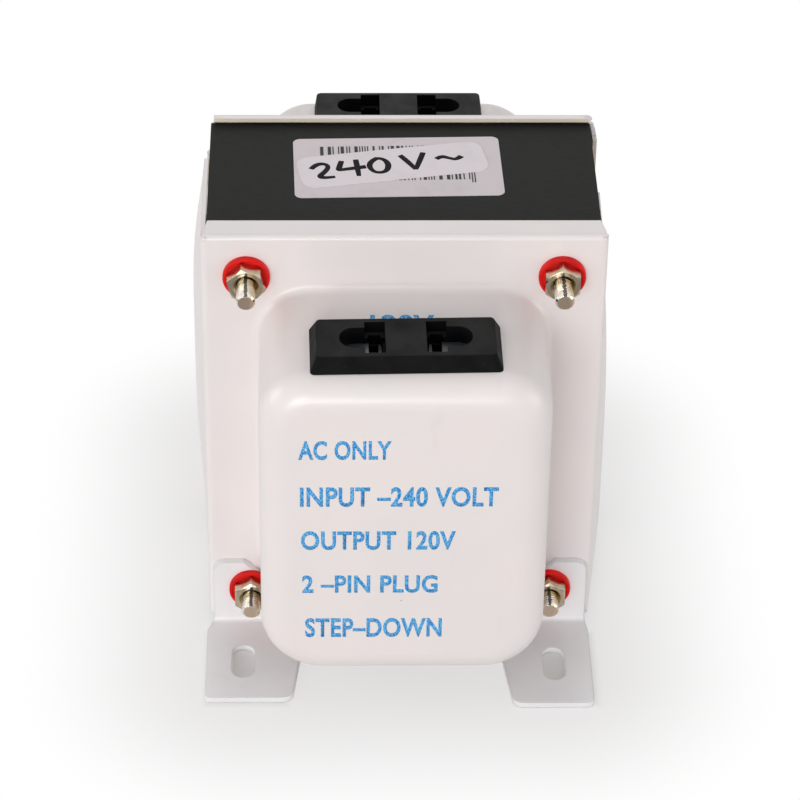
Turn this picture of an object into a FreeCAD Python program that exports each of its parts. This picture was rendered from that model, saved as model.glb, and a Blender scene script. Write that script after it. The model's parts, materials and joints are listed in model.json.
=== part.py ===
# A step-down voltage transformer of the bench type: an EI core that stands on edge, with its coil on the
# middle leg, closed at the front and at the back by two pressed steel covers. Each cover has a bulge over
# the coil and a two-pin socket on the bulge's sloping shelf. Four long bolts clamp covers and core, and the
# lower two also hold four bent feet.
# Millimetres. +X is to the right, +Y goes from the front to the back, +Z is up. The origin lies on the
# floor, under the middle of the core.

import FreeCAD
import Part
import math
import os

# Core of standard laminations, with its long side upright
CORE_WIDTH = 80.0
CORE_HEIGHT = 96.0
STACK_DEPTH = 45.0
CENTRE_LEG = 32.0
OUTER_LEG = 16.0
WINDOW_LENGTH = 48.0
CORE_LIFT = 2.7
CORE_JOINT_GAP = 0.05
BOLT_EDGE = 8.0
CORE_HOLE = 5.0

# Black card folded over the core
WRAP_THICK = 0.15
WRAP_DROP = 12.0
WRAP_INSET = 0.5

# Pressed covers
SHEET = 0.9
INNER_BEND = 0.3
PLATE_GAP = 0.4
SIDE_GAP = 0.25
TOP_GAP = 0.7
BOTTOM_GAP = 0.3
CORNER_SLIT = 0.4
FRONT_TOP_FLANGE = 5.8
REAR_TOP_FLANGE = 2.4
TOP_FLANGE_TAPER = 0.9
FRONT_SIDE_FLANGE = 34.0
REAR_SIDE_FLANGE = 4.0
SIDE_FLANGE_CORNER = 2.0
COVER_HOLE = 4.6
REAR_TOP_CORNER = 2.5
REAR_LEFT_TRIM = 1.2

# How far below the cover's top each side fold starts, and how far below it the flange's own top is
FRONT_NOTCH = 0.4
FRONT_LEFT_DROP = 1.6
FRONT_RIGHT_DROP = 10.0
REAR_LEFT_NOTCH = 9.0
REAR_LEFT_DROP = 16.0
REAR_RIGHT_NOTCH = 2.0
REAR_RIGHT_DROP = 3.7

# How far the side flanges spring out at their free edge: the most, the height of the widest
# place, how far up and down from there it dies out, and how flat the curve is
LEFT_SPREAD = 3.2
LEFT_SPREAD_HEIGHT = 51.0
LEFT_SPREAD_REACH = 48.0
LEFT_SPREAD_POWER = 4
RIGHT_SPREAD = 4.7
RIGHT_SPREAD_HEIGHT = 15.0
RIGHT_SPREAD_REACH = 88.0
RIGHT_SPREAD_POWER = 3
REAR_SPREAD = 0.6
REAR_SPREAD_HEIGHT = 94.0
REAR_SPREAD_REACH = 60.0
REAR_SPREAD_POWER = 2
FLANGE_SECTIONS = 9

# Bulge of each cover
BULGE_WIDTH = 59.0
BULGE_DEPTH = 29.0
BULGE_RISE = 7.0
FRONT_SHELF_DROP = 13.1
FRONT_SHELF_SLOPE = 7.5
REAR_SHELF_DROP = 12.0
REAR_SHELF_SLOPE = 1.0
BULGE_EDGE = 6.4
BULGE_TOP_CORNER = 10.5
BULGE_LOW_CORNER = 13.0
BULGE_ROOT = 1.8

# Bolts, nuts and washers
BOLT_D = 4.0
BOLT_TIP = 9.8
TIP_CHAMFER = 0.7
HEX_FLATS = 7.0
HEX_RING = 0.1
HEAD_HEIGHT = 2.8
NUT_HEIGHT = 3.2
NUT_SINK = 0.6
LOOSE_NUT_TURN = 14.0
THREAD_CLEARANCE = 0.05
WASHER_D = 9.6
WASHER_THICK = 1.2
WASHER_DISH = 0.3
WASHER_RIM = 0.6
WASHER_ROUND = 0.25
WASHER_CLEARANCE = 0.1
SLEEVE_WALL = 0.3
SLEEVE_CLEARANCE = 0.1

# Bent feet. Their soles are cut by hand: each side has its own length, width at the tip, and reach of its
# outer edge past the leg's
FOOT_SHEET = 1.5
FOOT_BEND = 2.5
FOOT_INSET = 0.9
LEFT_SOLE_LENGTH = 27.0
LEFT_SOLE_WIDTH = 18.6
LEFT_SOLE_OUT = 1.4
RIGHT_SOLE_LENGTH = 29.0
RIGHT_SOLE_WIDTH = 17.2
RIGHT_SOLE_OUT = 0.6
SOLE_FLARE = 2.4
FOOT_TAPER = 0.12
FOOT_LEG_HEIGHT = 17.5
FOOT_LEG_TOP = 6.8
FOOT_LEG_CORNER = 2.5
FOOT_OUTER_CORNER = 1.5
FOOT_INNER_CORNER = 2.5
SLOT_WIDTH = 4.8
SLOT_LENGTH = 10.4
SLOT_SHARE = 0.56
SLOT_INSET = 8.0

# Bobbin and coil
BOBBIN_CLEARANCE = 0.4
BOBBIN_WALL = 1.2
BOBBIN_CORNER = 1.2
FLANGE_MARGIN = 0.4
FLANGE_CORNER = 4.0
PRIMARY_THICK = 5.4
INTERLAYER_THICK = 0.4
SECONDARY_THICK = 4.6
TAPE_THICK = 0.4
WINDING_END_GAP = 0.1
BOBBIN_END_GAP = 0.3

# Sockets, in their own frame: X across, Y towards the back, Z square to the shelf
SOCKET_SET = 17.7
FRONT_SOCKET_TURN = 1.1
BEZEL_TOP_LENGTH = 35.6
BEZEL_TOP_WIDTH = 11.2
BEZEL_HEIGHT = 3.5
FRONT_BEZEL_BEVEL = 1.4
REAR_BEZEL_BEVEL = 0.5
BEZEL_CORNER = 1.0
BEZEL_EDGE = 0.4
BODY_LENGTH = 34.4
BODY_WIDTH = 10.6
BODY_DEPTH = 13.0
CUTOUT_CLEARANCE = 0.2
HOLE_START = 4.1
HOLE_STEP = 8.2
HOLE_END = 13.3
HOLE_TALL = 9.0
HOLE_OVAL = 5.8
TALL_DEPTH = 2.8
OVAL_DEPTH = 4.3
BLADE_SLOT_START = 4.9
BLADE_SLOT_END = 7.5
BLADE_SLOT_WIDTH = 7.4
POCKET_MARGIN = 0.2

# Spring contacts in the sockets
CONTACT_SHEET = 0.6
CONTACT_WIDTH = 6.2
CONTACT_SEAT = 0.05
CONTACT_DEPTH = 11.4
BLADE_SPACING = 12.7
BLADE_GAP = 2.0
TAG_WIDTH = 3.0
TAG_LENGTH = 4.6

# Steel clips that hold the sockets under the shelf
CLIP_SHEET = 0.6
CLIP_WIDTH = 8.0
CLIP_REACH = 1.6
CLIP_LEG = 7.5
CLIP_MARGIN = 0.1

# Leads, joints and cut-out inside the bulges
WIRE_D = 1.8
WIRE_BEND = 3.0
WIRE_GAP = 0.2
SOCKET_LEAD_DROP = 4.0
SOCKET_LEAD_X = 14.0
SOCKET_LEAD_END = 46.0
CRIMP_D = 5.2
CRIMP_LENGTH = 12.0
CRIMP_ROUND = 1.7
CRIMP_X = 7.0
CRIMP_LOW = 26.0
SUPPLY_LEAD_X = 10.0
SUPPLY_LEAD_END = 56.0
CUTOUT_D = 4.0
CUTOUT_LENGTH = 11.0
CUTOUT_LEAD_D = 1.0
CUTOUT_LEAD_LENGTH = 6.0
CUTOUT_HEIGHT = 34.0

# Rubber grommet for the supply cord, in the back cover
GROMMET_HEIGHT = 27.0
GROMMET_HOLE = 10.0
GROMMET_BORE = 7.0
GROMMET_FLANGE = 14.0
GROMMET_LIP = 1.6
GROMMET_ROUND = 1.0
GROMMET_CLEARANCE = 0.1

# Paper labels on the card over the core
LABEL_THICK = 0.1
LABEL_LENGTH = 43.2
LABEL_WIDTH = 22.9
LABEL_CORNER = 1.6
LABEL_X = -0.9
LABEL_Y = 4.5
LABEL_TURN = 1.4
SMALL_LABEL_LENGTH = 39.4
SMALL_LABEL_WIDTH = 12.0
SMALL_LABEL_CORNER = 3.0
SMALL_LABEL_X = -2.0
SMALL_LABEL_Y = 5.3
SMALL_LABEL_TURN = 10.4

# Places that follow from the sizes above
CORE_TOP = CORE_LIFT + CORE_HEIGHT
CORE_MIDDLE = CORE_LIFT + CORE_HEIGHT / 2
YOKE = (CORE_WIDTH - WINDOW_LENGTH) / 2
WINDOW_HEIGHT = (CORE_HEIGHT - CENTRE_LEG - 2 * OUTER_LEG) / 2
BOLT_X = CORE_WIDTH / 2 - BOLT_EDGE
BOLT_LOW = CORE_LIFT + BOLT_EDGE
BOLT_HIGH = CORE_TOP - BOLT_EDGE
BEND = SHEET + INNER_BEND
FACE = STACK_DEPTH / 2 + PLATE_GAP + SHEET
COVER_HALF = CORE_WIDTH / 2 + SIDE_GAP + SHEET
COVER_TOP = CORE_TOP + TOP_GAP + SHEET
COVER_LOW = CORE_LIFT - BOTTOM_GAP - SHEET
BULGE_LOW = COVER_LOW + BULGE_RISE
BOBBIN_HALF = WINDOW_LENGTH / 2 - BOBBIN_END_GAP
TUBE_Y = STACK_DEPTH / 2 + BOBBIN_CLEARANCE + BOBBIN_WALL
TUBE_Z = CENTRE_LEG / 2 + BOBBIN_CLEARANCE + BOBBIN_WALL
COIL_THICK = PRIMARY_THICK + INTERLAYER_THICK + SECONDARY_THICK + TAPE_THICK
COIL_FRONT = TUBE_Y + COIL_THICK
OVAL_FLOOR = BEZEL_HEIGHT - OVAL_DEPTH
FOOT_OUTER = COVER_HALF - FOOT_INSET
LABEL_FLOOR = CORE_TOP + WRAP_THICK

# How far a cutting shape runs past what it cuts, and how near counts as the same place
PAST = 1.0
NEAR = 1e-3

# The largest share of a wall that a rounding may take
ROUND_SHARE = 0.9

X_AXIS = FreeCAD.Vector(1, 0, 0)
Y_AXIS = FreeCAD.Vector(0, 1, 0)
Z_AXIS = FreeCAD.Vector(0, 0, 1)
ORIGIN = FreeCAD.Vector(0, 0, 0)


def vec(x, y, z):
    """A vector of three numbers."""
    return FreeCAD.Vector(x, y, z)


def box(x0, x1, y0, y1, z0, z1):
    """A box between two corners."""
    return Part.makeBox(x1 - x0, y1 - y0, z1 - z0, vec(x0, y0, z0))


def prism(points, reach):
    """A flat outline, given by its corners, drawn out along the vector reach."""
    wire = Part.makePolygon(points + points[:1])
    return Part.Face(wire).extrude(reach)


def rod(start, direction, radius, length):
    """A round rod from a start point along a direction."""
    return Part.makeCylinder(radius, length, start, direction)


def mirror_x(shape):
    """The same shape on the other side, left for right."""
    return shape.mirror(ORIGIN, X_AXIS)


def mirror_y(shape):
    """The same shape at the other end, front for back."""
    return shape.mirror(ORIGIN, Y_AXIS)


def edges_along(shape, axis):
    """The straight edges that run along an axis."""
    found = []
    for edge in shape.Edges:
        if len(edge.Vertexes) < 2:
            continue
        run = edge.Vertexes[1].Point - edge.Vertexes[0].Point
        if run.Length > NEAR and run.cross(axis).Length / run.Length < NEAR * axis.Length:
            found.append(edge)
    return found


def rounded_bar(half_y, half_z, radius, half_x):
    """A bar along X with rounded long edges, centred on the core's middle."""
    bar = box(-half_x, half_x, -half_y, half_y, CORE_MIDDLE - half_z, CORE_MIDDLE + half_z)
    rounding = min(radius, ROUND_SHARE * half_y, ROUND_SHARE * half_z)
    return bar.makeFillet(rounding, edges_along(bar, X_AXIS))


def hex_prism(centre, flats, height, turn):
    """A hexagonal prism along +Y, turned from a corner at the top, both its ends chamfered at 30 degrees."""
    corner = flats / math.sqrt(3)
    points = []
    for step in range(6):
        angle = math.radians(60 * step + 90 + turn)
        points.append(centre + vec(corner * math.cos(angle), 0, corner * math.sin(angle)))
    hexagon = prism(points, vec(0, height, 0))
    ring = flats / 2 - HEX_RING
    turned = (corner - ring) * math.tan(math.radians(30))
    cone = Part.makeCone(ring, corner, turned, centre, Y_AXIS)
    middle = rod(centre + vec(0, turned, 0), Y_AXIS, corner, height - 2 * turned)
    far = centre + vec(0, height, 0)
    turned_body = middle.fuse([cone, Part.makeCone(ring, corner, turned, far, -Y_AXIS)])
    return hexagon.common(turned_body).removeSplitter()


def bolt_places():
    """The four bolt axes as X and Z, the upper two first."""
    return [(-BOLT_X, BOLT_HIGH), (BOLT_X, BOLT_HIGH), (-BOLT_X, BOLT_LOW), (BOLT_X, BOLT_LOW)]


def foot_under(z):
    """The thickness of the foot's leg that a bolt at this height passes through."""
    return FOOT_SHEET if z < CORE_MIDDLE else 0.0


def rounded_path(points, radius):
    """A wire of straight runs through the points, joined by tangent arcs of one radius."""
    edges = []
    start = points[0]
    for before, corner, after in zip(points, points[1:], points[2:]):
        to_before = (before - corner).normalize()
        to_after = (after - corner).normalize()
        half_turn = (math.pi - to_before.getAngle(to_after)) / 2
        setback = radius * math.tan(half_turn)
        inner = (to_before + to_after).normalize()
        arc_start = corner + to_before * setback
        arc_end = corner + to_after * setback
        arc_middle = corner + inner * (radius / math.cos(half_turn) - radius)
        edges.append(Part.LineSegment(start, arc_start).toShape())
        edges.append(Part.Arc(arc_start, arc_middle, arc_end).toShape())
        start = arc_end
    edges.append(Part.LineSegment(start, points[-1]).toShape())
    return Part.Wire(edges)


def wire_along(points, diameter, radius):
    """A round wire that follows a rounded path."""
    path = rounded_path(points, radius)
    heading = points[1] - points[0]
    section = Part.Wire(Part.Circle(points[0], heading, diameter / 2).toShape())
    return path.makePipeShell([section], True, True)


# Core

def e_laminations():
    """The stack of E plates: the upright back on the left and three legs to the right."""
    left = -CORE_WIDTH / 2
    leg_end = WINDOW_LENGTH / 2 - CORE_JOINT_GAP
    depth = STACK_DEPTH / 2
    stack = box(left, leg_end, -depth, depth, CORE_LIFT, CORE_TOP)
    for low in (CORE_LIFT + OUTER_LEG, CORE_MIDDLE + CENTRE_LEG / 2):
        window = box(left + YOKE, leg_end + PAST, -depth - PAST, depth + PAST, low, low + WINDOW_HEIGHT)
        stack = stack.cut(window)
    return drill_core(stack, -BOLT_X)


def i_laminations():
    """The stack of I plates that closes the core on the right."""
    depth = STACK_DEPTH / 2
    stack = box(WINDOW_LENGTH / 2, CORE_WIDTH / 2, -depth, depth, CORE_LIFT, CORE_TOP)
    return drill_core(stack, BOLT_X)


def drill_core(stack, x):
    """The stack with its two bolt holes."""
    for z in (BOLT_LOW, BOLT_HIGH):
        stack = stack.cut(rod(vec(x, -STACK_DEPTH, z), Y_AXIS, CORE_HOLE / 2, 2 * STACK_DEPTH))
    return stack


def core_wrap():
    """The black card that lies on the core's top and is folded down at both sides."""
    half = CORE_WIDTH / 2
    depth = STACK_DEPTH / 2 - WRAP_INSET
    side = half + WRAP_THICK
    outer = box(-side, side, -depth, depth, CORE_TOP - WRAP_DROP, CORE_TOP + WRAP_THICK)
    fold = [e for e in edges_along(outer, Y_AXIS) if e.Vertexes[0].Z > CORE_TOP]
    outer = outer.makeFillet(WRAP_THICK, fold)
    return outer.cut(box(-half, half, -depth - PAST, depth + PAST, CORE_LIFT, CORE_TOP))


# Bobbin and coil

def bobbin():
    """The moulded bobbin: a square tube over the middle leg with a flange at each end."""
    tube = rounded_bar(TUBE_Y, TUBE_Z, BOBBIN_CORNER, BOBBIN_HALF)
    flange_y = COIL_FRONT + FLANGE_MARGIN
    flange_z = CENTRE_LEG / 2 + WINDOW_HEIGHT - FLANGE_MARGIN
    plate = rounded_bar(flange_y, flange_z, FLANGE_CORNER, BOBBIN_WALL / 2)
    for side in (-1, 1):
        tube = tube.fuse(plate.translated(vec(side * (BOBBIN_HALF - BOBBIN_WALL / 2), 0, 0)))
    bore_y = STACK_DEPTH / 2 + BOBBIN_CLEARANCE
    bore_z = CENTRE_LEG / 2 + BOBBIN_CLEARANCE
    bore = box(-WINDOW_LENGTH, WINDOW_LENGTH, -bore_y, bore_y, CORE_MIDDLE - bore_z, CORE_MIDDLE + bore_z)
    return tube.cut(bore)


def coil_layer(inner, thick):
    """One closed layer of the coil, from inner to inner + thick above the bobbin's tube."""
    half = BOBBIN_HALF - BOBBIN_WALL - WINDING_END_GAP
    outer = inner + thick
    solid = rounded_bar(TUBE_Y + outer, TUBE_Z + outer, BOBBIN_CORNER + outer, half)
    core = rounded_bar(TUBE_Y + inner, TUBE_Z + inner, BOBBIN_CORNER + inner, half + PAST)
    return solid.cut(core)


def coil():
    """The coil's layers from the inside out, by node name."""
    layers = [
        ("primary_winding", PRIMARY_THICK),
        ("interlayer_insulation", INTERLAYER_THICK),
        ("secondary_winding", SECONDARY_THICK),
        ("outer_tape", TAPE_THICK),
    ]
    nodes = {}
    inner = 0.0
    for name, thick in layers:
        nodes[name] = coil_layer(inner, thick)
        inner = inner + thick
    return nodes


# Covers, built as the front one

def top_corner():
    """The rounding of a bulge's upper corners, which leaves the shelf flat over the socket and its clips."""
    flat = BODY_LENGTH / 2 + CLIP_REACH + CLIP_MARGIN
    return min(BULGE_TOP_CORNER, BULGE_WIDTH / 2 - flat)


class Shelf:
    """The top face of a bulge: its height, its slope to the front, its socket's turn and frame's bevel."""

    def __init__(self, drop, slope, turn, bevel):
        self.height = COVER_TOP - drop
        self.slope = slope
        self.fall = math.tan(math.radians(slope))
        self.turn = turn
        self.bevel = bevel

    def height_at(self, y):
        """The shelf's height at a distance y from the middle."""
        return self.height + (FACE + y) * self.fall

    def place(self, shape):
        """A shape of the socket's own frame, moved to its seat on this shelf."""
        y = -FACE - SOCKET_SET
        placed = shape.copy()
        placed.rotate(ORIGIN, Z_AXIS, self.turn)
        placed.rotate(ORIGIN, X_AXIS, self.slope)
        placed.translate(vec(0, y, self.height_at(y)))
        return placed

    def down(self):
        """The direction from the shelf straight into the bulge."""
        lean = math.radians(self.slope)
        return vec(0, math.sin(lean), -math.cos(lean))


def front_shelf():
    """The front bulge's shelf."""
    return Shelf(FRONT_SHELF_DROP, FRONT_SHELF_SLOPE, FRONT_SOCKET_TURN, FRONT_BEZEL_BEVEL)


def rear_shelf():
    """The back bulge's shelf, as if it were at the front."""
    return Shelf(REAR_SHELF_DROP, REAR_SHELF_SLOPE, 0.0, REAR_BEZEL_BEVEL)


def bulge(shelf, inset, back):
    """The bulge as a solid from the plane y = back forwards, its walls moved in by the inset."""
    half = BULGE_WIDTH / 2 - inset
    front = -FACE - BULGE_DEPTH + inset
    low = BULGE_LOW + inset
    lift = inset * math.sqrt(1 + shelf.fall ** 2)
    high_back = shelf.height_at(back) - lift
    high_front = shelf.height_at(front) - lift
    side = [
        vec(-half, back, low),
        vec(-half, front, low),
        vec(-half, front, high_front),
        vec(-half, back, high_back),
    ]
    solid = prism(side, vec(2 * half, 0, 0))
    along_shelf = vec(0, back - front, high_back - high_front).normalize()
    solid = solid.makeFillet(top_corner() - inset, edges_along(solid, along_shelf))
    low_edges = [e for e in edges_along(solid, Y_AXIS) if e.BoundBox.ZMax < low + NEAR]
    solid = solid.makeFillet(BULGE_LOW_CORNER - inset, low_edges)
    rim = [e for e in solid.Edges if e.BoundBox.YMax < front + NEAR]
    edge = min(BULGE_EDGE, ROUND_SHARE * top_corner(), ROUND_SHARE * BULGE_LOW_CORNER)
    return solid.makeFillet(edge - inset, rim)


def plate_with_bulge(shelf, plate_half, plate_low, plate_high, inset, face, back):
    """A plate with its front at y = face, joined to the bulge by a hollow fillet."""
    plate = box(-plate_half, plate_half, face, back, plate_low, plate_high)
    joined = plate.fuse(bulge(shelf, inset, back)).removeSplitter()
    half = BULGE_WIDTH / 2 - inset + NEAR
    root = []
    for edge in joined.Edges:
        size = edge.BoundBox
        in_plane = size.YMin > face - NEAR and size.YMax < face + NEAR
        if in_plane and size.XMin > -half and size.XMax < half:
            root.append(edge)
    return joined.makeFillet(BULGE_ROOT + inset, root)


def pressed_plate(shelf):
    """The cover's flat plate and bulge, of one even sheet."""
    half = COVER_HALF - BEND
    low = COVER_LOW + BEND
    high = COVER_TOP - BEND
    inner_face = -FACE + SHEET
    outside = plate_with_bulge(shelf, half, low, high, 0.0, -FACE, inner_face + SHEET)
    inside = plate_with_bulge(
        shelf, half + PAST, low - PAST, high + PAST, SHEET, inner_face, inner_face + 2 * SHEET
    )
    return outside.cut(inside)


def level_flange(depth, at_top):
    """The flange along the top or the bottom edge, turned back to the given depth."""
    edge = COVER_TOP if at_top else COVER_LOW
    way = 1 if at_top else -1
    turn = vec(0, -FACE + BEND, edge - way * BEND)

    def ring_point(radius, angle):
        return turn + vec(0, -radius * math.cos(angle), way * radius * math.sin(angle))

    outer_arc = Part.Arc(ring_point(BEND, 0), ring_point(BEND, math.pi / 4), ring_point(BEND, math.pi / 2))
    inner_arc = Part.Arc(
        ring_point(INNER_BEND, math.pi / 2), ring_point(INNER_BEND, math.pi / 4), ring_point(INNER_BEND, 0)
    )
    outer_end = vec(0, -FACE + depth, edge)
    inner_end = vec(0, -FACE + depth, edge - way * SHEET)
    edges = [
        outer_arc.toShape(),
        Part.LineSegment(ring_point(BEND, math.pi / 2), outer_end).toShape(),
        Part.LineSegment(outer_end, inner_end).toShape(),
        Part.LineSegment(inner_end, ring_point(INNER_BEND, math.pi / 2)).toShape(),
        inner_arc.toShape(),
        Part.LineSegment(ring_point(INNER_BEND, 0), ring_point(BEND, 0)).toShape(),
    ]
    section = Part.Face(Part.Wire(edges))
    half = COVER_HALF - CORNER_SLIT
    strip = section.extrude(vec(2 * half, 0, 0)).translated(vec(-half, 0, 0))
    tip = half - TOP_FLANGE_TAPER
    floor = edge - 2 * BEND
    outline = [
        vec(-half, -FACE - PAST, floor),
        vec(half, -FACE - PAST, floor),
        vec(half, -FACE + BEND, floor),
        vec(tip, -FACE + depth, floor),
        vec(tip, -FACE + depth + PAST, floor),
        vec(-tip, -FACE + depth + PAST, floor),
        vec(-tip, -FACE + depth, floor),
        vec(-half, -FACE + BEND, floor),
    ]
    return strip.common(prism(outline, vec(0, 0, 4 * BEND)))


def spread_at(z, spread, height, reach, power):
    """How far a side flange's free edge stands out at a height."""
    share = abs(z - height) / reach
    return spread * max(0.0, 1 - share ** power) ** 2


def side_section(z, depth, out):
    """The section of the right side flange at a height, with its free edge sprung out."""
    lean = math.atan(out / (depth - BEND))
    turn = vec(COVER_HALF - BEND, -FACE + BEND, z)
    heading = vec(math.sin(lean), math.cos(lean), 0)
    run = (depth - BEND) / math.cos(lean)

    def ring_point(radius, angle):
        return turn + vec(radius * math.cos(angle), -radius * math.sin(angle), 0)

    middle = (math.pi / 2 + lean) / 2
    outer_start = ring_point(BEND, math.pi / 2)
    inner_start = ring_point(INNER_BEND, math.pi / 2)
    outer_turn = ring_point(BEND, lean)
    inner_turn = ring_point(INNER_BEND, lean)
    edges = [
        Part.Arc(outer_start, ring_point(BEND, middle), outer_turn).toShape(),
        Part.LineSegment(outer_turn, outer_turn + heading * run).toShape(),
        Part.LineSegment(outer_turn + heading * run, inner_turn + heading * run).toShape(),
        Part.LineSegment(inner_turn + heading * run, inner_turn).toShape(),
        Part.Arc(inner_turn, ring_point(INNER_BEND, middle), inner_start).toShape(),
        Part.LineSegment(inner_start, outer_start).toShape(),
    ]
    return Part.Wire(edges)


def side_flange(depth, notch, drop, spread, height, reach, power):
    """The right side flange: it starts straight at the fold and springs out towards its free edge."""
    low = COVER_LOW + CORNER_SLIT
    high = COVER_TOP - notch
    sections = []
    for step in range(FLANGE_SECTIONS):
        z = low + (high - low) * step / (FLANGE_SECTIONS - 1)
        sections.append(side_section(z, depth, spread_at(z, spread, height, reach, power)))
    flange = Part.makeLoft(sections, True, False)
    top = COVER_TOP - drop
    relief = min(drop, depth / 2)
    corner = min(SIDE_FLANGE_CORNER, depth / 4)
    start = -FACE + BEND
    end = -FACE + depth
    x = COVER_HALF - 2 * BEND
    outline = [
        vec(x, start - 2 * BEND, low - PAST),
        vec(x, start - 2 * BEND, high + PAST),
        vec(x, start, high + PAST),
        vec(x, start, high),
        vec(x, start + relief, top),
        vec(x, end - corner, top),
        vec(x, end + PAST, top - corner - PAST),
        vec(x, end + PAST, low + corner + PAST),
        vec(x, end - corner, low),
        vec(x, end - corner, low - PAST),
    ]
    return flange.common(prism(outline, vec(spread + 4 * BEND, 0, 0)))


def cover(shelf, top_depth, left, right):
    """A whole cover with its flanges and bolt holes, as the front one."""
    shell = pressed_plate(shelf)
    parts = [level_flange(top_depth, True), level_flange(top_depth, False), right, mirror_x(left)]
    shell = shell.fuse(parts).removeSplitter()
    for x, z in bolt_places():
        shell = shell.cut(rod(vec(x, -FACE - PAST, z), Y_AXIS, COVER_HOLE / 2, SHEET + 2 * PAST))
    half_x = BODY_LENGTH / 2 + CUTOUT_CLEARANCE
    half_y = BODY_WIDTH / 2 + CUTOUT_CLEARANCE
    return shell.cut(shelf.place(box(-half_x, half_x, -half_y, half_y, -SHEET - PAST, PAST)))


def rounded_corners(shell, radius):
    """A cover, as the front one, with its two upper corners rounded off."""
    x = COVER_HALF - radius
    z = COVER_TOP - radius
    block = box(x, COVER_HALF + PAST, -FACE - PAST, 0, z, COVER_TOP + PAST)
    corner = block.cut(rod(vec(x, -FACE - PAST, z), Y_AXIS, radius, FACE + 2 * PAST))
    return shell.cut(corner).cut(mirror_x(corner))


def front_cover():
    """The front cover, with deep side flanges that have sprung out."""
    left = side_flange(
        FRONT_SIDE_FLANGE,
        FRONT_NOTCH,
        FRONT_LEFT_DROP,
        LEFT_SPREAD,
        LEFT_SPREAD_HEIGHT,
        LEFT_SPREAD_REACH,
        LEFT_SPREAD_POWER,
    )
    right = side_flange(
        FRONT_SIDE_FLANGE,
        FRONT_NOTCH,
        FRONT_RIGHT_DROP,
        RIGHT_SPREAD,
        RIGHT_SPREAD_HEIGHT,
        RIGHT_SPREAD_REACH,
        RIGHT_SPREAD_POWER,
    )
    return cover(front_shelf(), FRONT_TOP_FLANGE, left, right)


def rear_cover():
    """The back cover, with shallow flanges, its upper corners cut, and the hole for the cord's grommet."""
    curve = [REAR_SPREAD_HEIGHT, REAR_SPREAD_REACH, REAR_SPREAD_POWER]
    left = side_flange(REAR_SIDE_FLANGE, REAR_LEFT_NOTCH, REAR_LEFT_DROP, 0.0, *curve)
    right = side_flange(REAR_SIDE_FLANGE, REAR_RIGHT_NOTCH, REAR_RIGHT_DROP, REAR_SPREAD, *curve)
    shell = rounded_corners(cover(rear_shelf(), REAR_TOP_FLANGE, left, right), REAR_TOP_CORNER)
    trim_x = -COVER_HALF + CORNER_SLIT + REAR_LEFT_TRIM
    trim_z = COVER_TOP - REAR_LEFT_NOTCH
    shell = shell.cut(box(-COVER_HALF - PAST, trim_x, -FACE - PAST, 0, trim_z, COVER_TOP + PAST))
    shell = mirror_y(shell)
    start = vec(0, FACE + BULGE_DEPTH - SHEET - PAST, GROMMET_HEIGHT)
    return shell.cut(rod(start, Y_AXIS, GROMMET_HOLE / 2, SHEET + 2 * PAST))


# Feet

def foot(length, width, out):
    """A right front foot: a sheet bent to an L, its leg under the bolt's washer, its sole slotted."""
    outer = FOOT_OUTER + out
    tip_x = outer - width
    root_x = tip_x - length * FOOT_TAPER
    tip_y = -FACE - length
    bent = foot_strip(root_x, outer, tip_y)
    outline = foot_sole(root_x, tip_x, outer, tip_y).fuse(foot_leg(root_x))
    cuts = foot_cuts(outer - SLOT_INSET, -FACE - SLOT_SHARE * length)
    return bent.common(outline).cut(cuts).removeSplitter()


def foot_strip(root_x, outer, tip_y):
    """The bent sheet of a foot, as wide as the foot is at most."""
    turn = vec(root_x, -FACE - FOOT_BEND, FOOT_BEND)
    inner = FOOT_BEND - FOOT_SHEET
    outer_middle = turn + vec(0, 1, -1) * (FOOT_BEND * math.sqrt(0.5))
    inner_middle = turn + vec(0, 1, -1) * (inner * math.sqrt(0.5))
    outer_low = turn - vec(0, 0, FOOT_BEND)
    outer_high = turn + vec(0, FOOT_BEND, 0)
    inner_low = turn - vec(0, 0, inner)
    inner_high = turn + vec(0, inner, 0)
    rise = vec(0, 0, FOOT_LEG_HEIGHT - FOOT_BEND)
    reach = vec(0, tip_y - turn.y, 0)
    edges = [
        Part.LineSegment(outer_low + reach, outer_low).toShape(),
        Part.Arc(outer_low, outer_middle, outer_high).toShape(),
        Part.LineSegment(outer_high, outer_high + rise).toShape(),
        Part.LineSegment(outer_high + rise, inner_high + rise).toShape(),
        Part.LineSegment(inner_high + rise, inner_high).toShape(),
        Part.Arc(inner_high, inner_middle, inner_low).toShape(),
        Part.LineSegment(inner_low, inner_low + reach).toShape(),
        Part.LineSegment(inner_low + reach, outer_low + reach).toShape(),
    ]
    return Part.Face(Part.Wire(edges)).extrude(vec(outer - root_x, 0, 0))


def foot_sole(root_x, tip_x, outer, tip_y):
    """The outline of the foot's sole as a block: it widens outwards just past the bend."""
    outline = [
        vec(root_x, -FACE, 0),
        vec(FOOT_OUTER, -FACE, 0),
        vec(FOOT_OUTER, -FACE - FOOT_BEND / 2, 0),
        vec(outer, -FACE - FOOT_BEND - SOLE_FLARE, 0),
        vec(outer, tip_y, 0),
        vec(tip_x, tip_y, 0),
    ]
    block = prism(outline, vec(0, 0, FOOT_BEND))
    outer_edge = [e for e in edges_along(block, Z_AXIS) if is_at(e, outer, tip_y)]
    block = block.makeFillet(FOOT_OUTER_CORNER, outer_edge)
    inner_edge = [e for e in edges_along(block, Z_AXIS) if is_at(e, tip_x, tip_y)]
    return block.makeFillet(FOOT_INNER_CORNER, inner_edge)


def is_at(edge, x, y):
    """Whether an upright edge stands at this x and y."""
    point = edge.Vertexes[0].Point
    return abs(point.x - x) < NEAR and abs(point.y - y) < NEAR


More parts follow.
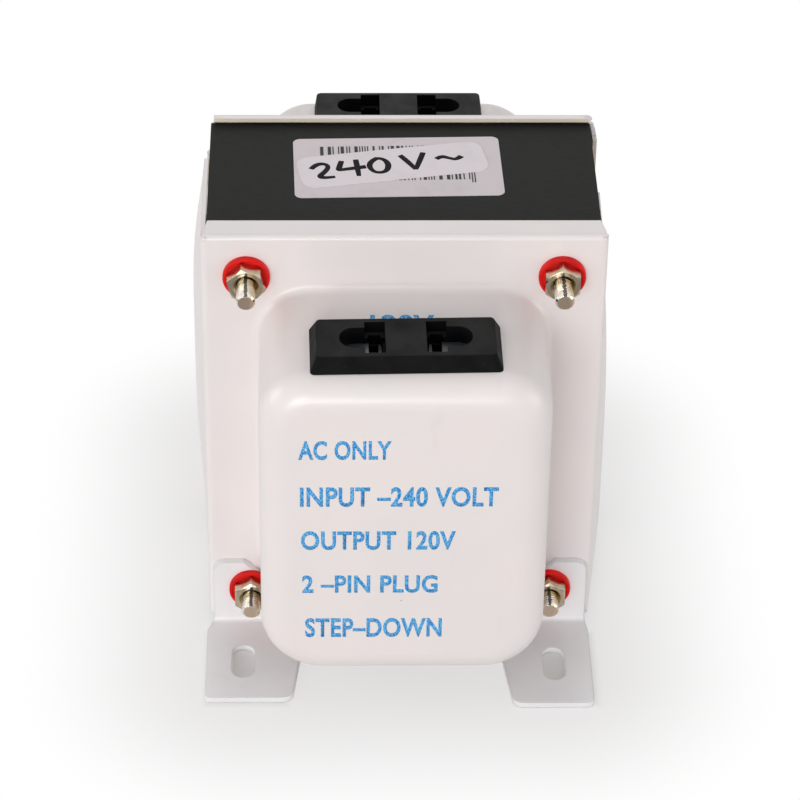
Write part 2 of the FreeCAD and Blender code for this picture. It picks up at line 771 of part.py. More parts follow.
def foot_leg(root_x):
    """The outline of the foot's leg as a block: its inner side slopes away from the bulge."""
    top_x = FOOT_OUTER - FOOT_LEG_TOP
    run = top_x - root_x
    outline = [
        vec(root_x, -FACE, 0),
        vec(FOOT_OUTER, -FACE, 0),
        vec(FOOT_OUTER, -FACE, FOOT_LEG_HEIGHT),
        vec(top_x, -FACE, FOOT_LEG_HEIGHT),
        vec(root_x, -FACE, max(FOOT_BEND, FOOT_LEG_HEIGHT - run)),
    ]
    block = prism(outline, vec(0, -FOOT_BEND, 0))
    top = [e for e in edges_along(block, Y_AXIS) if e.Vertexes[0].Z > FOOT_LEG_HEIGHT - NEAR]
    outer = [e for e in top if e.Vertexes[0].X > FOOT_OUTER - NEAR]
    return block.makeFillet(FOOT_LEG_CORNER, outer)


def foot_cuts(x, middle):
    """The slot in the foot's sole, about x and middle, and the bolt hole in its leg."""
    run = (SLOT_LENGTH - SLOT_WIDTH) / 2
    half = SLOT_WIDTH / 2
    slot = box(x - half, x + half, middle - run, middle + run, -PAST, FOOT_SHEET + PAST)
    for end in (middle - run, middle + run):
        slot = slot.fuse(rod(vec(x, end, -PAST), Z_AXIS, half, FOOT_SHEET + 2 * PAST))
    start = vec(BOLT_X, -FACE - FOOT_SHEET - PAST, BOLT_LOW)
    hole = rod(start, Y_AXIS, COVER_HOLE / 2, FOOT_SHEET + 2 * PAST)
    return slot.fuse(hole)


# Fasteners

def through_bolts():
    """The four bolts, heads at the back, tips standing out of the nuts at the front."""
    bolts = []
    for x, z in bolt_places():
        seat = FACE + foot_under(z) + WASHER_THICK
        tip = -FACE - BOLT_TIP
        shank = rod(vec(x, tip, z), Y_AXIS, BOLT_D / 2, seat - tip)
        tip_edge = [e for e in shank.Edges if e.BoundBox.YMax < tip + NEAR]
        shank = shank.makeChamfer(TIP_CHAMFER, tip_edge)
        head = hex_prism(vec(x, seat, z), HEX_FLATS, HEAD_HEIGHT, 0.0)
        bolts.append(shank.fuse(head).removeSplitter())
    return Part.makeCompound(bolts)


def hex_nuts():
    """The four nuts on the bolts' front ends."""
    nuts = []
    for x, z in bolt_places():
        seat = -FACE - foot_under(z) - WASHER_THICK + WASHER_DISH
        front = vec(x, seat - NUT_HEIGHT, z)
        nut = hex_prism(front, HEX_FLATS, NUT_HEIGHT, nut_turn(x, z))
        bore = BOLT_D / 2 + THREAD_CLEARANCE
        hole = rod(front - vec(0, PAST, 0), Y_AXIS, bore, NUT_HEIGHT + 2 * PAST)
        sink = Part.makeCone(bore + NUT_SINK, bore, NUT_SINK, front, Y_AXIS)
        nuts.append(nut.cut(hole).cut(sink))
    return Part.makeCompound(nuts)


def nut_turn(x, z):
    """How far a nut is turned from having a corner at the top: only the upper left one isn't straight."""
    return LOOSE_NUT_TURN if x < 0 and z > CORE_MIDDLE else 0.0


def front_washer(x, z):
    """A red fibre washer with a shallow dish under the nut."""
    front = -FACE - foot_under(z) - WASHER_THICK
    washer = rod(vec(x, front, z), Y_AXIS, WASHER_D / 2, WASHER_THICK)
    rim = [e for e in washer.Edges if e.BoundBox.YMax < front + NEAR]
    washer = washer.makeFillet(WASHER_ROUND, rim)
    start = vec(x, front - PAST, z)
    dish = rod(start, Y_AXIS, WASHER_D / 2 - WASHER_RIM, WASHER_DISH + PAST)
    hole = rod(start, Y_AXIS, BOLT_D / 2 + WASHER_CLEARANCE, WASHER_THICK + 2 * PAST)
    return washer.cut(dish).cut(hole)


def front_washers():
    """The four red washers under the nuts."""
    return Part.makeCompound([front_washer(x, z) for x, z in bolt_places()])


def rear_washers():
    """The four red washers under the bolt heads, which are flat."""
    washers = []
    for x, z in bolt_places():
        start = vec(x, FACE + foot_under(z), z)
        washer = rod(start, Y_AXIS, WASHER_D / 2, WASHER_THICK)
        bore_start = start - vec(0, PAST, 0)
        hole = rod(bore_start, Y_AXIS, BOLT_D / 2 + WASHER_CLEARANCE, WASHER_THICK + 2 * PAST)
        washers.append(washer.cut(hole))
    return Part.makeCompound(washers)


def bolt_sleeves():
    """The insulating sleeves that keep the bolts off the core."""
    sleeves = []
    inner = BOLT_D / 2 + SLEEVE_CLEARANCE
    for x, z in bolt_places():
        start = vec(x, -STACK_DEPTH / 2, z)
        sleeve = rod(start, Y_AXIS, inner + SLEEVE_WALL, STACK_DEPTH)
        sleeves.append(sleeve.cut(rod(start, Y_AXIS, inner, STACK_DEPTH)))
    return Part.makeCompound(sleeves)


# Sockets, in their own frame, or placed as the front one

def level_rectangle(length, width, z):
    """A closed rectangle square to the socket's axis."""
    x = length / 2
    y = width / 2
    corners = [vec(-x, -y, z), vec(x, -y, z), vec(x, y, z), vec(-x, y, z)]
    return Part.makePolygon(corners + corners[:1])


def plug_hole():
    """The right plug hole: a tall opening for a blade joined to an oval one for a round pin."""
    top = BEZEL_HEIGHT + PAST
    tall = box(HOLE_START, HOLE_STEP, -HOLE_TALL / 2, HOLE_TALL / 2, BEZEL_HEIGHT - TALL_DEPTH, top)
    radius = HOLE_OVAL / 2
    end = HOLE_END - radius
    oval = box(HOLE_START, end, -radius, radius, OVAL_FLOOR, top)
    oval = oval.fuse(rod(vec(end, 0, OVAL_FLOOR), Z_AXIS, radius, OVAL_DEPTH + PAST))
    half = BLADE_SLOT_WIDTH / 2
    blade = box(BLADE_SLOT_START, BLADE_SLOT_END, -half, half, OVAL_FLOOR - PAST, top)
    return tall.fuse([oval, blade])


def contact_pocket():
    """The pocket for the right contact, open at the socket's underside."""
    start = BLADE_SPACING / 2 - BLADE_GAP / 2 - CONTACT_SHEET - POCKET_MARGIN
    half = CONTACT_WIDTH / 2 + POCKET_MARGIN
    return box(start, HOLE_END, -half, half, -BODY_DEPTH - PAST, OVAL_FLOOR)


def bezel(bevel):
    """The socket's bevelled frame above the shelf, with rounded corners and a softened top edge."""
    base = level_rectangle(BEZEL_TOP_LENGTH + 2 * bevel, BEZEL_TOP_WIDTH + 2 * bevel, 0)
    plateau = level_rectangle(BEZEL_TOP_LENGTH, BEZEL_TOP_WIDTH, BEZEL_HEIGHT)
    block = Part.makeLoft([base, plateau], True, True)
    slanted = [e for e in block.Edges if e.BoundBox.ZLength > NEAR]
    block = block.makeFillet(BEZEL_CORNER, slanted)
    rim = [e for e in block.Edges if e.BoundBox.ZMin > BEZEL_HEIGHT - NEAR]
    return block.makeFillet(BEZEL_EDGE, rim)


def socket_body(bevel):
    """The moulded socket: a bevelled bezel above the shelf and a body below it, with two plug holes."""
    half_x = BODY_LENGTH / 2
    half_y = BODY_WIDTH / 2
    body = box(-half_x, half_x, -half_y, half_y, -BODY_DEPTH, BEZEL_HEIGHT / 2)
    whole = bezel(bevel).fuse(body).removeSplitter()
    right = plug_hole().fuse(contact_pocket())
    return whole.cut(right).cut(mirror_x(right))


def contact():
    """The right contact: a folded strip with a seat under the oval hole, a blade clip and a solder tag."""
    near = BLADE_SPACING / 2 - BLADE_GAP / 2
    far = BLADE_SPACING / 2 + BLADE_GAP / 2
    top = OVAL_FLOOR - CONTACT_SEAT
    low = -CONTACT_DEPTH
    lead_in = HOLE_STEP - BLADE_SLOT_END
    profile = [
        vec(HOLE_END - POCKET_MARGIN, 0, top),
        vec(far, 0, top),
        vec(far, 0, low),
        vec(near, 0, low),
        vec(near, 0, top - lead_in),
        vec(near - CONTACT_SHEET, 0, top - lead_in),
        vec(near - CONTACT_SHEET, 0, low - CONTACT_SHEET),
        vec(far + CONTACT_SHEET, 0, low - CONTACT_SHEET),
        vec(far + CONTACT_SHEET, 0, top - CONTACT_SHEET),
        vec(HOLE_END - POCKET_MARGIN, 0, top - CONTACT_SHEET),
    ]
    strip = prism(profile, vec(0, CONTACT_WIDTH, 0)).translated(vec(0, -CONTACT_WIDTH / 2, 0))
    middle = BLADE_SPACING / 2
    tag_top = low - CONTACT_SHEET / 2
    tag = box(
        middle - CONTACT_SHEET / 2,
        middle + CONTACT_SHEET / 2,
        -TAG_WIDTH / 2,
        TAG_WIDTH / 2,
        tag_top - TAG_LENGTH,
        tag_top,
    )
    return strip.fuse(tag).removeSplitter()


def socket_clips():
    """The two spring clips that hook a socket under the shelf's sheet, one at each end of its body."""
    start = BODY_LENGTH / 2
    top = -SHEET
    half = CLIP_WIDTH / 2
    leg = box(start, start + CLIP_SHEET, -half, half, top - CLIP_LEG, top)
    hook = box(start, start + CLIP_REACH, -half, half, top - CLIP_SHEET, top)
    return both_sides(leg.fuse(hook).removeSplitter())


def socket_lead(shelf, side):
    """One lead of a socket, to the right or left: from the contact's tag to the coil and down its face."""
    tag_end = -CONTACT_DEPTH - CONTACT_SHEET / 2 - TAG_LENGTH
    tag = shelf.place(Part.Vertex(vec(side * BLADE_SPACING / 2, 0, tag_end))).Point
    start = tag + shelf.down() * WIRE_GAP
    turn = start + shelf.down() * (SOCKET_LEAD_DROP + WIRE_BEND)
    face_y = -COIL_FRONT - WIRE_GAP - WIRE_D / 2
    beside = vec(side * SOCKET_LEAD_X, face_y, turn.z - SOCKET_LEAD_DROP - WIRE_BEND)
    end = vec(side * SOCKET_LEAD_X, face_y, SOCKET_LEAD_END)
    return wire_along([start, turn, beside, end], WIRE_D, WIRE_BEND)


def both_sides(shape):
    """A shape and its mirror image, as separate solids."""
    return Part.makeCompound([shape, mirror_x(shape)])


# Pieces inside the back bulge and on the coil

def crimp_caps():
    """The two closed crimp caps that join the supply to the coil's leads, lying on the coil."""
    y = COIL_FRONT + WIRE_GAP + CRIMP_D / 2
    cap = rod(vec(CRIMP_X, y, CRIMP_LOW), Z_AXIS, CRIMP_D / 2, CRIMP_LENGTH)
    dome = [e for e in cap.Edges if e.BoundBox.ZMax < CRIMP_LOW + NEAR]
    return both_sides(cap.makeFillet(CRIMP_ROUND, dome))


def supply_leads():
    """The two leads from the crimp caps up the coil's back face."""
    crimp_y = COIL_FRONT + WIRE_GAP + CRIMP_D / 2
    face_y = COIL_FRONT + WIRE_GAP + WIRE_D / 2
    top = CRIMP_LOW + CRIMP_LENGTH
    points = [
        vec(CRIMP_X, crimp_y, top),
        vec(CRIMP_X, crimp_y, top + 2 * WIRE_BEND),
        vec(SUPPLY_LEAD_X, face_y, top + 4 * WIRE_BEND),
        vec(SUPPLY_LEAD_X, face_y, SUPPLY_LEAD_END),
    ]
    return both_sides(wire_along(points, WIRE_D, WIRE_BEND))


def thermal_cutout():
    """The small thermal fuse that lies across the coil's front face."""
    y = -COIL_FRONT - WIRE_GAP - CUTOUT_D / 2
    half = CUTOUT_LENGTH / 2
    body = rod(vec(-half, y, CUTOUT_HEIGHT), X_AXIS, CUTOUT_D / 2, CUTOUT_LENGTH)
    reach = half + CUTOUT_LEAD_LENGTH
    leads = rod(vec(-reach, y, CUTOUT_HEIGHT), X_AXIS, CUTOUT_LEAD_D / 2, 2 * reach)
    return body.fuse(leads)


def cord_grommet():
    """The rubber grommet in the back bulge's wall, with its bore for the supply cord."""
    outside = FACE + BULGE_DEPTH
    inside = outside - SHEET
    flange = GROMMET_FLANGE / 2
    lip_outer = rod(vec(0, outside, GROMMET_HEIGHT), Y_AXIS, flange, GROMMET_LIP)
    rim = [e for e in lip_outer.Edges if e.BoundBox.YMin > outside + GROMMET_LIP - NEAR]
    lip_outer = lip_outer.makeFillet(GROMMET_ROUND, rim)
    lip_inner = rod(vec(0, inside - GROMMET_LIP, GROMMET_HEIGHT), Y_AXIS, flange, GROMMET_LIP)
    neck_start = vec(0, inside - GROMMET_LIP / 2, GROMMET_HEIGHT)
    neck = rod(neck_start, Y_AXIS, GROMMET_HOLE / 2 - GROMMET_CLEARANCE, SHEET + GROMMET_LIP)
    bore_start = vec(0, inside - GROMMET_LIP - PAST, GROMMET_HEIGHT)
    bore = rod(bore_start, Y_AXIS, GROMMET_BORE / 2, SHEET + 2 * GROMMET_LIP + 2 * PAST)
    return lip_outer.fuse([neck, lip_inner]).removeSplitter().cut(bore)


# Labels

def rounded_sheet(length, width, corner, thick):
    """A flat sheet with rounded corners, centred on its own origin."""
    sheet = box(-length / 2, length / 2, -width / 2, width / 2, 0, thick)
    return sheet.makeFillet(corner, edges_along(sheet, Z_AXIS))


def large_label():
    """The larger paper label on the card."""
    sheet = rounded_sheet(LABEL_LENGTH, LABEL_WIDTH, LABEL_CORNER, LABEL_THICK)
    sheet.rotate(ORIGIN, Z_AXIS, LABEL_TURN)
    return sheet.translated(vec(LABEL_X, LABEL_Y, LABEL_FLOOR))


def small_label():
    """The smaller label, stuck askew on the larger one."""
    sheet = rounded_sheet(SMALL_LABEL_LENGTH, SMALL_LABEL_WIDTH, SMALL_LABEL_CORNER, LABEL_THICK)
    sheet.rotate(ORIGIN, Z_AXIS, SMALL_LABEL_TURN)
    return sheet.translated(vec(SMALL_LABEL_X, SMALL_LABEL_Y, LABEL_FLOOR + LABEL_THICK))


def all_nodes():
    """Every sub-part by its node name."""
    nodes = {
        "e_laminations": e_laminations(),
        "i_laminations": i_laminations(),
        "core_wrap": core_wrap(),
        "bobbin": bobbin(),
        "front_cover": front_cover(),
        "rear_cover": rear_cover(),
        "through_bolts": through_bolts(),
        "bolt_sleeves": bolt_sleeves(),
        "hex_nuts": hex_nuts(),
        "front_washers": front_washers(),
        "rear_washers": rear_washers(),
        "crimp_caps": crimp_caps(),
        "supply_leads": supply_leads(),
        "thermal_cutout": thermal_cutout(),
        "cord_grommet": cord_grommet(),
        "large_label": large_label(),
        "small_label": small_label(),
    }
    nodes.update(coil())
    right_foot = foot(RIGHT_SOLE_LENGTH, RIGHT_SOLE_WIDTH, RIGHT_SOLE_OUT)
    left_foot = mirror_x(foot(LEFT_SOLE_LENGTH, LEFT_SOLE_WIDTH, LEFT_SOLE_OUT))
    nodes["foot_front_right"] = right_foot
    nodes["foot_front_left"] = left_foot
    nodes["foot_rear_right"] = mirror_y(right_foot)
    nodes["foot_rear_left"] = mirror_y(left_foot)
    for end, shelf in (("front", front_shelf()), ("rear", rear_shelf())):
        for name, shape in socket_pieces(shelf).items():
            nodes[end + "_" + name] = shape if end == "front" else mirror_y(shape)
    return nodes


def socket_pieces(shelf):
    """The pieces of one socket, as the front one, by their names."""
    leads = [socket_lead(shelf, 1), socket_lead(shelf, -1)]
    return {
        "socket_body": shelf.place(socket_body(shelf.bevel)),
        "socket_contact_right": shelf.place(contact()),
        "socket_contact_left": shelf.place(mirror_x(contact())),
        "socket_clips": shelf.place(socket_clips()),
        "socket_leads": Part.makeCompound(leads),
    }


def main():
    """Write one STEP file for each node."""
    os.makedirs("parts", exist_ok=True)
    for name, shape in all_nodes().items():
        shape.exportStep("parts/" + name + ".step")


main()
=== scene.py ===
"""The looks of a bench voltage transformer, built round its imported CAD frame.

Metres, in the CAD's own frame: +X is to the right, +Y goes from the front cover to the back cover and
+Z is up. The CAD nodes stay as they are and get their finishes here. The bolts, the sheets of the core and
everything printed or written on the part are modelled here.
"""

import json
import logging
import math
import random
from dataclasses import dataclass
from enum import Enum
from typing import Any, Callable, Sequence

import bpy
from mathutils import Matrix, Vector


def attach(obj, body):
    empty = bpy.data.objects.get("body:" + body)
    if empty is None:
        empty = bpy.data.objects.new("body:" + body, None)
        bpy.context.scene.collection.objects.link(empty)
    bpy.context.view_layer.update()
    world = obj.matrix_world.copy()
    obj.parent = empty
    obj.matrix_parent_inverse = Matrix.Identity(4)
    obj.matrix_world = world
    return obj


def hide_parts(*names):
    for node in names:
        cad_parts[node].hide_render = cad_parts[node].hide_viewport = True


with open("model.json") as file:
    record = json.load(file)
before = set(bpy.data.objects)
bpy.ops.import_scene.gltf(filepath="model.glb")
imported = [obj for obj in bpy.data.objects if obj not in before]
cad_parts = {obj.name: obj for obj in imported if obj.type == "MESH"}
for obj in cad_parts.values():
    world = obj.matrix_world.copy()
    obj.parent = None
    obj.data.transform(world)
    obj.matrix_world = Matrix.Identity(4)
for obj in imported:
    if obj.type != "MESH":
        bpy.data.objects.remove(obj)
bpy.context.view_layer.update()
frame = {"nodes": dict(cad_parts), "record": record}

log = logging.getLogger("transformer")

MM = 0.001
NEAR = 0.001 * MM
BODY = "root"

# Sizes that several classes share
CORE_HALF = 40.0 * MM
CORE_LOW = 2.7 * MM
CORE_HIGH = 98.7 * MM
CORE_DEPTH = 45.0 * MM
BOLT_EDGE = 8.0 * MM
BOLT_ACROSS = CORE_HALF - BOLT_EDGE
CARD_THICK = 0.15 * MM
CARD_INSET = 0.5 * MM
LABEL_THICK = 0.1 * MM

Colour = tuple[float, float, float, float]
Point = tuple[float, float, float]
Pair = tuple[float, float]
Piece = bpy.types.Object
Material = bpy.types.Material
Socket = bpy.types.NodeSocket
Test = Callable[[Vector], bool]

WHITE: Colour = (1.0, 1.0, 1.0, 1.0)


def srgb(red: int, green: int, blue: int) -> Colour:
    """Turn a colour as read off a screen into a linear one.

    Args:
        red: Red from 0 to 255.
        green: Green from 0 to 255.
        blue: Blue from 0 to 255.

    Returns:
        The linear colour with full alpha.
    """
    linear = []
    for part in (red, green, blue):
        share = part / 255
        linear.append(share / 12.92 if share <= 0.04045 else ((share + 0.055) / 1.055) ** 2.4)
    return (linear[0], linear[1], linear[2], 1.0)


# Shader building

def math_method(operation: str, swapped: bool = False) -> Callable[..., "Number"]:
    """Make one of Number's methods.

    Args:
        operation: The operation of the Math node that the method adds.
        swapped: Whether the number itself comes second.

    Returns:
        The method. It may take another number or a plain value, and returns the node's result.
    """

    def method(self: "Number", other: Any = 0.0) -> "Number":
        """Add one Math node."""
        values = {0: other, 1: self} if swapped else {0: self, 1: other}
        return self.tree.number("Math", values, operation=operation)

    return method


class Number:
    """A number in a node tree. Arithmetic and comparisons on it add Math nodes."""

    def __init__(self, tree: "Tree", socket: Socket) -> None:
        """Keep the socket and the node tree that it belongs to."""
        self.tree = tree
        self.socket = socket

    __add__ = math_method("ADD")
    __radd__ = math_method("ADD", swapped=True)
    __sub__ = math_method("SUBTRACT")
    __rsub__ = math_method("SUBTRACT", swapped=True)
    __mul__ = math_method("MULTIPLY")
    __rmul__ = math_method("MULTIPLY", swapped=True)
    __truediv__ = math_method("DIVIDE")
    __gt__ = math_method("GREATER_THAN")
    __lt__ = math_method("LESS_THAN")
    __abs__ = math_method("ABSOLUTE")
    floor = math_method("FLOOR")
    most = math_method("MAXIMUM")
    wave = math_method("SINE")
    root = math_method("SQRT")


class Tree:
    """A node tree that starts empty."""

    def __init__(self, owner: Any) -> None:
        """Empty an owner's tree.

        Args:
            owner: The new material or world that it belongs to.
        """
        owner.use_nodes = True
        self.nodes = owner.node_tree.nodes
        self.links = owner.node_tree.links
        self.nodes.clear()

    def node(self, kind: str, values: dict[Any, Any], **settings: Any) -> bpy.types.Node:
        """Add one node.

        Args:
            kind: The node's type, without the word that all shader nodes start with.
            values: What goes into its sockets, by name or index: plain values, sockets or numbers.
            **settings: Its properties.

        Returns:
            The new node.
        """
        node = self.nodes.new(f"ShaderNode{kind}")
        for name, value in settings.items():
            setattr(node, name, value)
        for key, value in values.items():
            self.feed(node, key, value)
        return node

    def feed(self, node: bpy.types.Node, key: Any, value: Any) -> None:
        """Put something into a node's input.

        Args:
            node: The node.
            key: The input's name or index.
            value: A plain value, a socket or a number.
        """
        if isinstance(value, Number):
            value = value.socket
        if isinstance(value, Socket):
            self.links.new(value, node.inputs[key])
        else:
            node.inputs[key].default_value = value

    def number(self, kind: str, values: dict[Any, Any], output: Any = 0, **settings: Any) -> Number:
        """Add one node and take one of its outputs as a number."""
        return Number(self, self.node(kind, values, **settings).outputs[output])

    def rays(self, kind: str) -> Number:
        """One for rays of a kind, such as camera rays, otherwise zero."""
        return self.number("LightPath", {}, f"Is {kind} Ray")


class Shader(Tree):
    """One material with a Principled BSDF, and the nodes that feed it."""

    def __init__(self, name: str) -> None:
        """Start an empty material.

        Args:
            name: The material's name.
        """
        self.material = bpy.data.materials.new(name)
        super().__init__(self.material)
        self.surface = self.node("BsdfPrincipled", {})
        self.output = self.node("OutputMaterial", {"Surface": self.surface.outputs[0]})
        self.place = self.node("TexCoord", {}).outputs["Object"]
        split = self.node("SeparateXYZ", {0: self.place})
        self.x, self.y = (Number(self, socket) for socket in split.outputs[:2])

    def scaled(self, size: float, stretch: Point) -> Socket:
        """Object coordinates divided by a feature size, and stretched.

        Args:
            size: The size of a feature in metres.
            stretch: How many times longer a feature is along each axis.

        Returns:
            The vector socket.
        """
        scale = tuple(1 / (size * times) for times in stretch)
        return self.node("Mapping", {"Vector": self.place, "Scale": scale}).outputs[0]

    def noise(
        self, size: float, detail: float = 2.0, stretch: Point = (1, 1, 1), twist: float = 0.0
    ) -> Number:
        """Soft noise.

        Args:
            size: The size of a blotch in metres.
            detail: How many finer layers lie on it.
            stretch: How many times longer a blotch is along each axis.
            twist: How strongly it is distorted.

        Returns:
            A number about a half.
        """
        values = {"Vector": self.scaled(size, stretch), "Scale": 1.0, "Detail": detail, "Distortion": twist}
        return self.number("TexNoise", values)

    def cells(self, size: float, stretch: Point = (1, 1, 1)) -> Number:
        """Distance to scattered points, in units of their spacing.

        Args:
            size: The points' spacing in metres.
            stretch: How many times further apart they are along each axis.

        Returns:
            Zero at a point, about a half between them.
        """
        values = {"Vector": self.scaled(size, stretch), "Scale": 1.0}
        return self.number("TexVoronoi", values, "Distance")

    def steps(self, value: Number) -> Number:
        """A different random number for each whole number."""
        return self.number("TexWhiteNoise", {"W": value.floor()}, noise_dimensions="1D")

    def ease(self, value: Any, low: float, high: float) -> Number:
        """Zero below low, one above high, and smooth between.

        Args:
            value: The number to map.
            low: Where it starts to rise.
            high: Where it has risen.

        Returns:
            The mapped number.
        """
        values = {"Value": value, "From Min": low, "From Max": high}
        return self.number("MapRange", values, interpolation_type="SMOOTHSTEP")

    def blend(self, share: Any, first: Any, second: Any) -> Socket:
        """Mix two colours.

        Args:
            share: How much of the second colour there is.
            first: A colour or its socket.
            second: A colour or its socket.

        Returns:
            The colour's socket.
        """
        return self.node("Mix", {0: share, 6: first, 7: second}, data_type="RGBA").outputs[2]

    def facing(self, axis: int) -> Number:
        """The surface normal's part along an axis, from 0 for X to 2 for Z."""
        normal = self.node("NewGeometry", {}).outputs["Normal"]
        return self.number("SeparateXYZ", {0: normal}, axis)

    def relief(self, height: Number, depth: float, rounding: float = 0.0) -> Socket:
        """A bumped normal, if asked with softened edges.

        Args:
            height: The height from zero to one.
            depth: What a height of one is in metres.
            rounding: The radius of the softened edges in metres.

        Returns:
            The normal's socket.
        """
        values: dict[Any, Any] = {"Height": height, "Distance": depth, "Strength": 1.0}
        if rounding:
            values["Normal"] = self.node("Bevel", {"Radius": rounding}, samples=4).outputs[0]
        return self.node("Bump", values).outputs[0]

    def dress(self, **inputs: Any) -> Material:
        """Feed the Principled BSDF.

        Args:
            **inputs: Its sockets' names in lower case with underscores, and what goes in.

        Returns:
            The finished material.
        """
        for name, value in inputs.items():
            self.feed(self.surface, name.replace("_", " ").title().replace("Ior", "IOR"), value)
        return self.material


# Finishes

class Finish:
    """How a surface looks."""

    def make(self, name: str) -> Material:
        """Build the material under a name."""
        return self.dress(Shader(name))

    def dress(self, s: Shader) -> Material:
        """Feed a new material and return it."""
        raise NotImplementedError


@dataclass(frozen=True)
class Enamel(Finish):
    """White stove enamel: faint orange peel, soft blotches, dust, and bare cream edges on the flanges."""

    colour: Colour = srgb(235, 227, 225)
    second: Colour = srgb(231, 225, 224)
    raw: Colour = srgb(226, 213, 190)
    dust: Colour = srgb(96, 90, 84)
    roughness: float = 0.33
    peel: float = 0.012 * MM
    rounding: float = 0.3 * MM
    flange_y: float = 22.2 * MM
    speck: float = 0.02
    coat: float = 0.3
    coat_roughness: float = 0.14

    def dress(self, s: Shader) -> Material:
        """Feed a new material.

        Args:
            s: Its nodes.

        Returns:
            The material.
        """
        patch = s.ease(s.noise(26 * MM), 0.35, 0.65)
        paint = s.blend(patch, self.colour, self.second)
        speck = (s.cells(9 * MM) < self.speck) * (s.noise(22 * MM) > 0.5)
        smudge = s.ease(s.noise(7 * MM, 4.0, (1, 1, 2.5)), 0.62, 0.8) * 0.06
        dirty = s.blend(speck.most(smudge), paint, self.dust)
        edge = (abs(s.facing(1)) > 0.9) * (abs(s.y) < self.flange_y)
        chipped = edge * s.ease(s.noise(1.6 * MM, 3.0), 0.2, 0.4)
        colour = s.blend(chipped, dirty, self.raw)
        peel = s.noise(1.5 * MM, 1.0) + s.noise(0.35 * MM, 1.0) * 0.25
        return s.dress(
            base_color=colour,
            roughness=self.roughness + 0.1 * s.noise(5 * MM, 3.0) + 0.2 * chipped,
            normal=s.relief(peel, self.peel, self.rounding),
            coat_weight=self.coat,
            coat_roughness=self.coat_roughness,
        )


@dataclass(frozen=True)
class Nickel(Finish):
    """Nickel plate, slightly warm, with fine turning marks and stains."""

    colour: Colour = srgb(204, 190, 166)
    stain_and_reflection: Colour = srgb(132, 112, 82)
    roughness: float = 0.13
    marks: float = 0.0015 * MM

    def dress(self, s: Shader) -> Material:
        """Feed a new material.

        Args:
            s: Its nodes.

        Returns:
            The material.
        """
        stain_and_reflection = s.ease(s.noise(1.8 * MM, 4.0), 0.5, 0.78)
        fine = s.noise(0.12 * MM, 2.0, (8, 1, 8))
        return s.dress(
            base_color=s.blend(stain_and_reflection * 0.5, self.colour, self.stain_and_reflection),
            metallic=1.0,
            roughness=self.roughness + 0.15 * stain_and_reflection + 0.08 * s.noise(0.6 * MM),
            normal=s.relief(fine, self.marks, 0.08 * MM),
        )


@dataclass(frozen=True)
class BoltPlating(Finish):
    """Plate on the bolts, brightest on the thread, with a painted dark reflection line along the top of the
    thread, a painted warm reflection down its right side, and a dull cut end.
    """

    colour: Colour = srgb(240, 235, 224)
    head: Colour = srgb(204, 190, 166)
    # The warm tint of the painted reflection down the right side of each thread
    stain_and_reflection: Colour = srgb(206, 184, 142)
    # The colour of the painted dark reflection line along the top of each thread
    painted_dark_line: Colour = srgb(40, 43, 46)
    cut: Colour = srgb(212, 190, 168)
    # The painted dark reflection line: its half width, how far it wanders, and where along Y it ends
    line: float = 0.36 * MM
    wander: float = 0.8 * MM
    thread_y: float = -25.0 * MM

    def dress(self, s: Shader) -> Material:
        """Feed a new material.

        Args:
            s: Its nodes.

        Returns:
            The material.
        """
        # How far a place lies to the right of its own bolt's axis
        side = s.x - ((s.x > 0.0) * 2.0 - 1.0) * BOLT_ACROSS
        # The dark line along the top of each thread, beside its axis, is a painted dark reflection
        wander = (s.noise(0.6 * MM, 3.0) - 0.5) * self.wander
        on_painted_dark_line = (abs(side + wander) < self.line) * (s.facing(2) > 0.3) * (s.y < self.thread_y)
        # The warm tint down the right side of each thread is a painted reflection, its edge made ragged by
        # noise
        stain_and_reflection = s.ease(side + (s.noise(1.2 * MM, 3.0) - 0.5) * 2 * MM, 0.5 * MM, 1.4 * MM)
        end = s.facing(1) < -0.9
        behind = s.y > 0.0
        plate = s.blend(behind, s.blend(stain_and_reflection * 0.8, self.colour, self.stain_and_reflection), self.head)
        return s.dress(
            base_color=s.blend(end, s.blend(on_painted_dark_line * 0.9, plate, self.painted_dark_line), self.cut),
            metallic=1.0 - 0.4 * on_painted_dark_line,
            roughness=0.07 + 0.1 * stain_and_reflection + 0.2 * end + 0.12 * behind,
            normal=s.relief(s.noise(0.2 * MM, 2.0), 0.0015 * MM, 0.08 * MM),
        )


@dataclass(frozen=True)
class Metal(Finish):
    """Rolled or drawn metal strip with scratches along it."""

    colour: Colour
    tarnish: Colour
    roughness: float = 0.3
    along: Point = (1, 1, 10)

    def dress(self, s: Shader) -> Material:
        """Feed a new material.

        Args:
            s: Its nodes.

        Returns:
            The material.
        """
        tarnish = s.ease(s.noise(2.5 * MM, 4.0), 0.45, 0.75)
        lines = s.noise(0.15 * MM, 2.0, self.along)
        return s.dress(
            base_color=s.blend(tarnish * 0.6, self.colour, self.tarnish),
            metallic=1.0,
            roughness=self.roughness + 0.15 * lines + 0.15 * tarnish,
            normal=s.relief(lines, 0.008 * MM),
        )


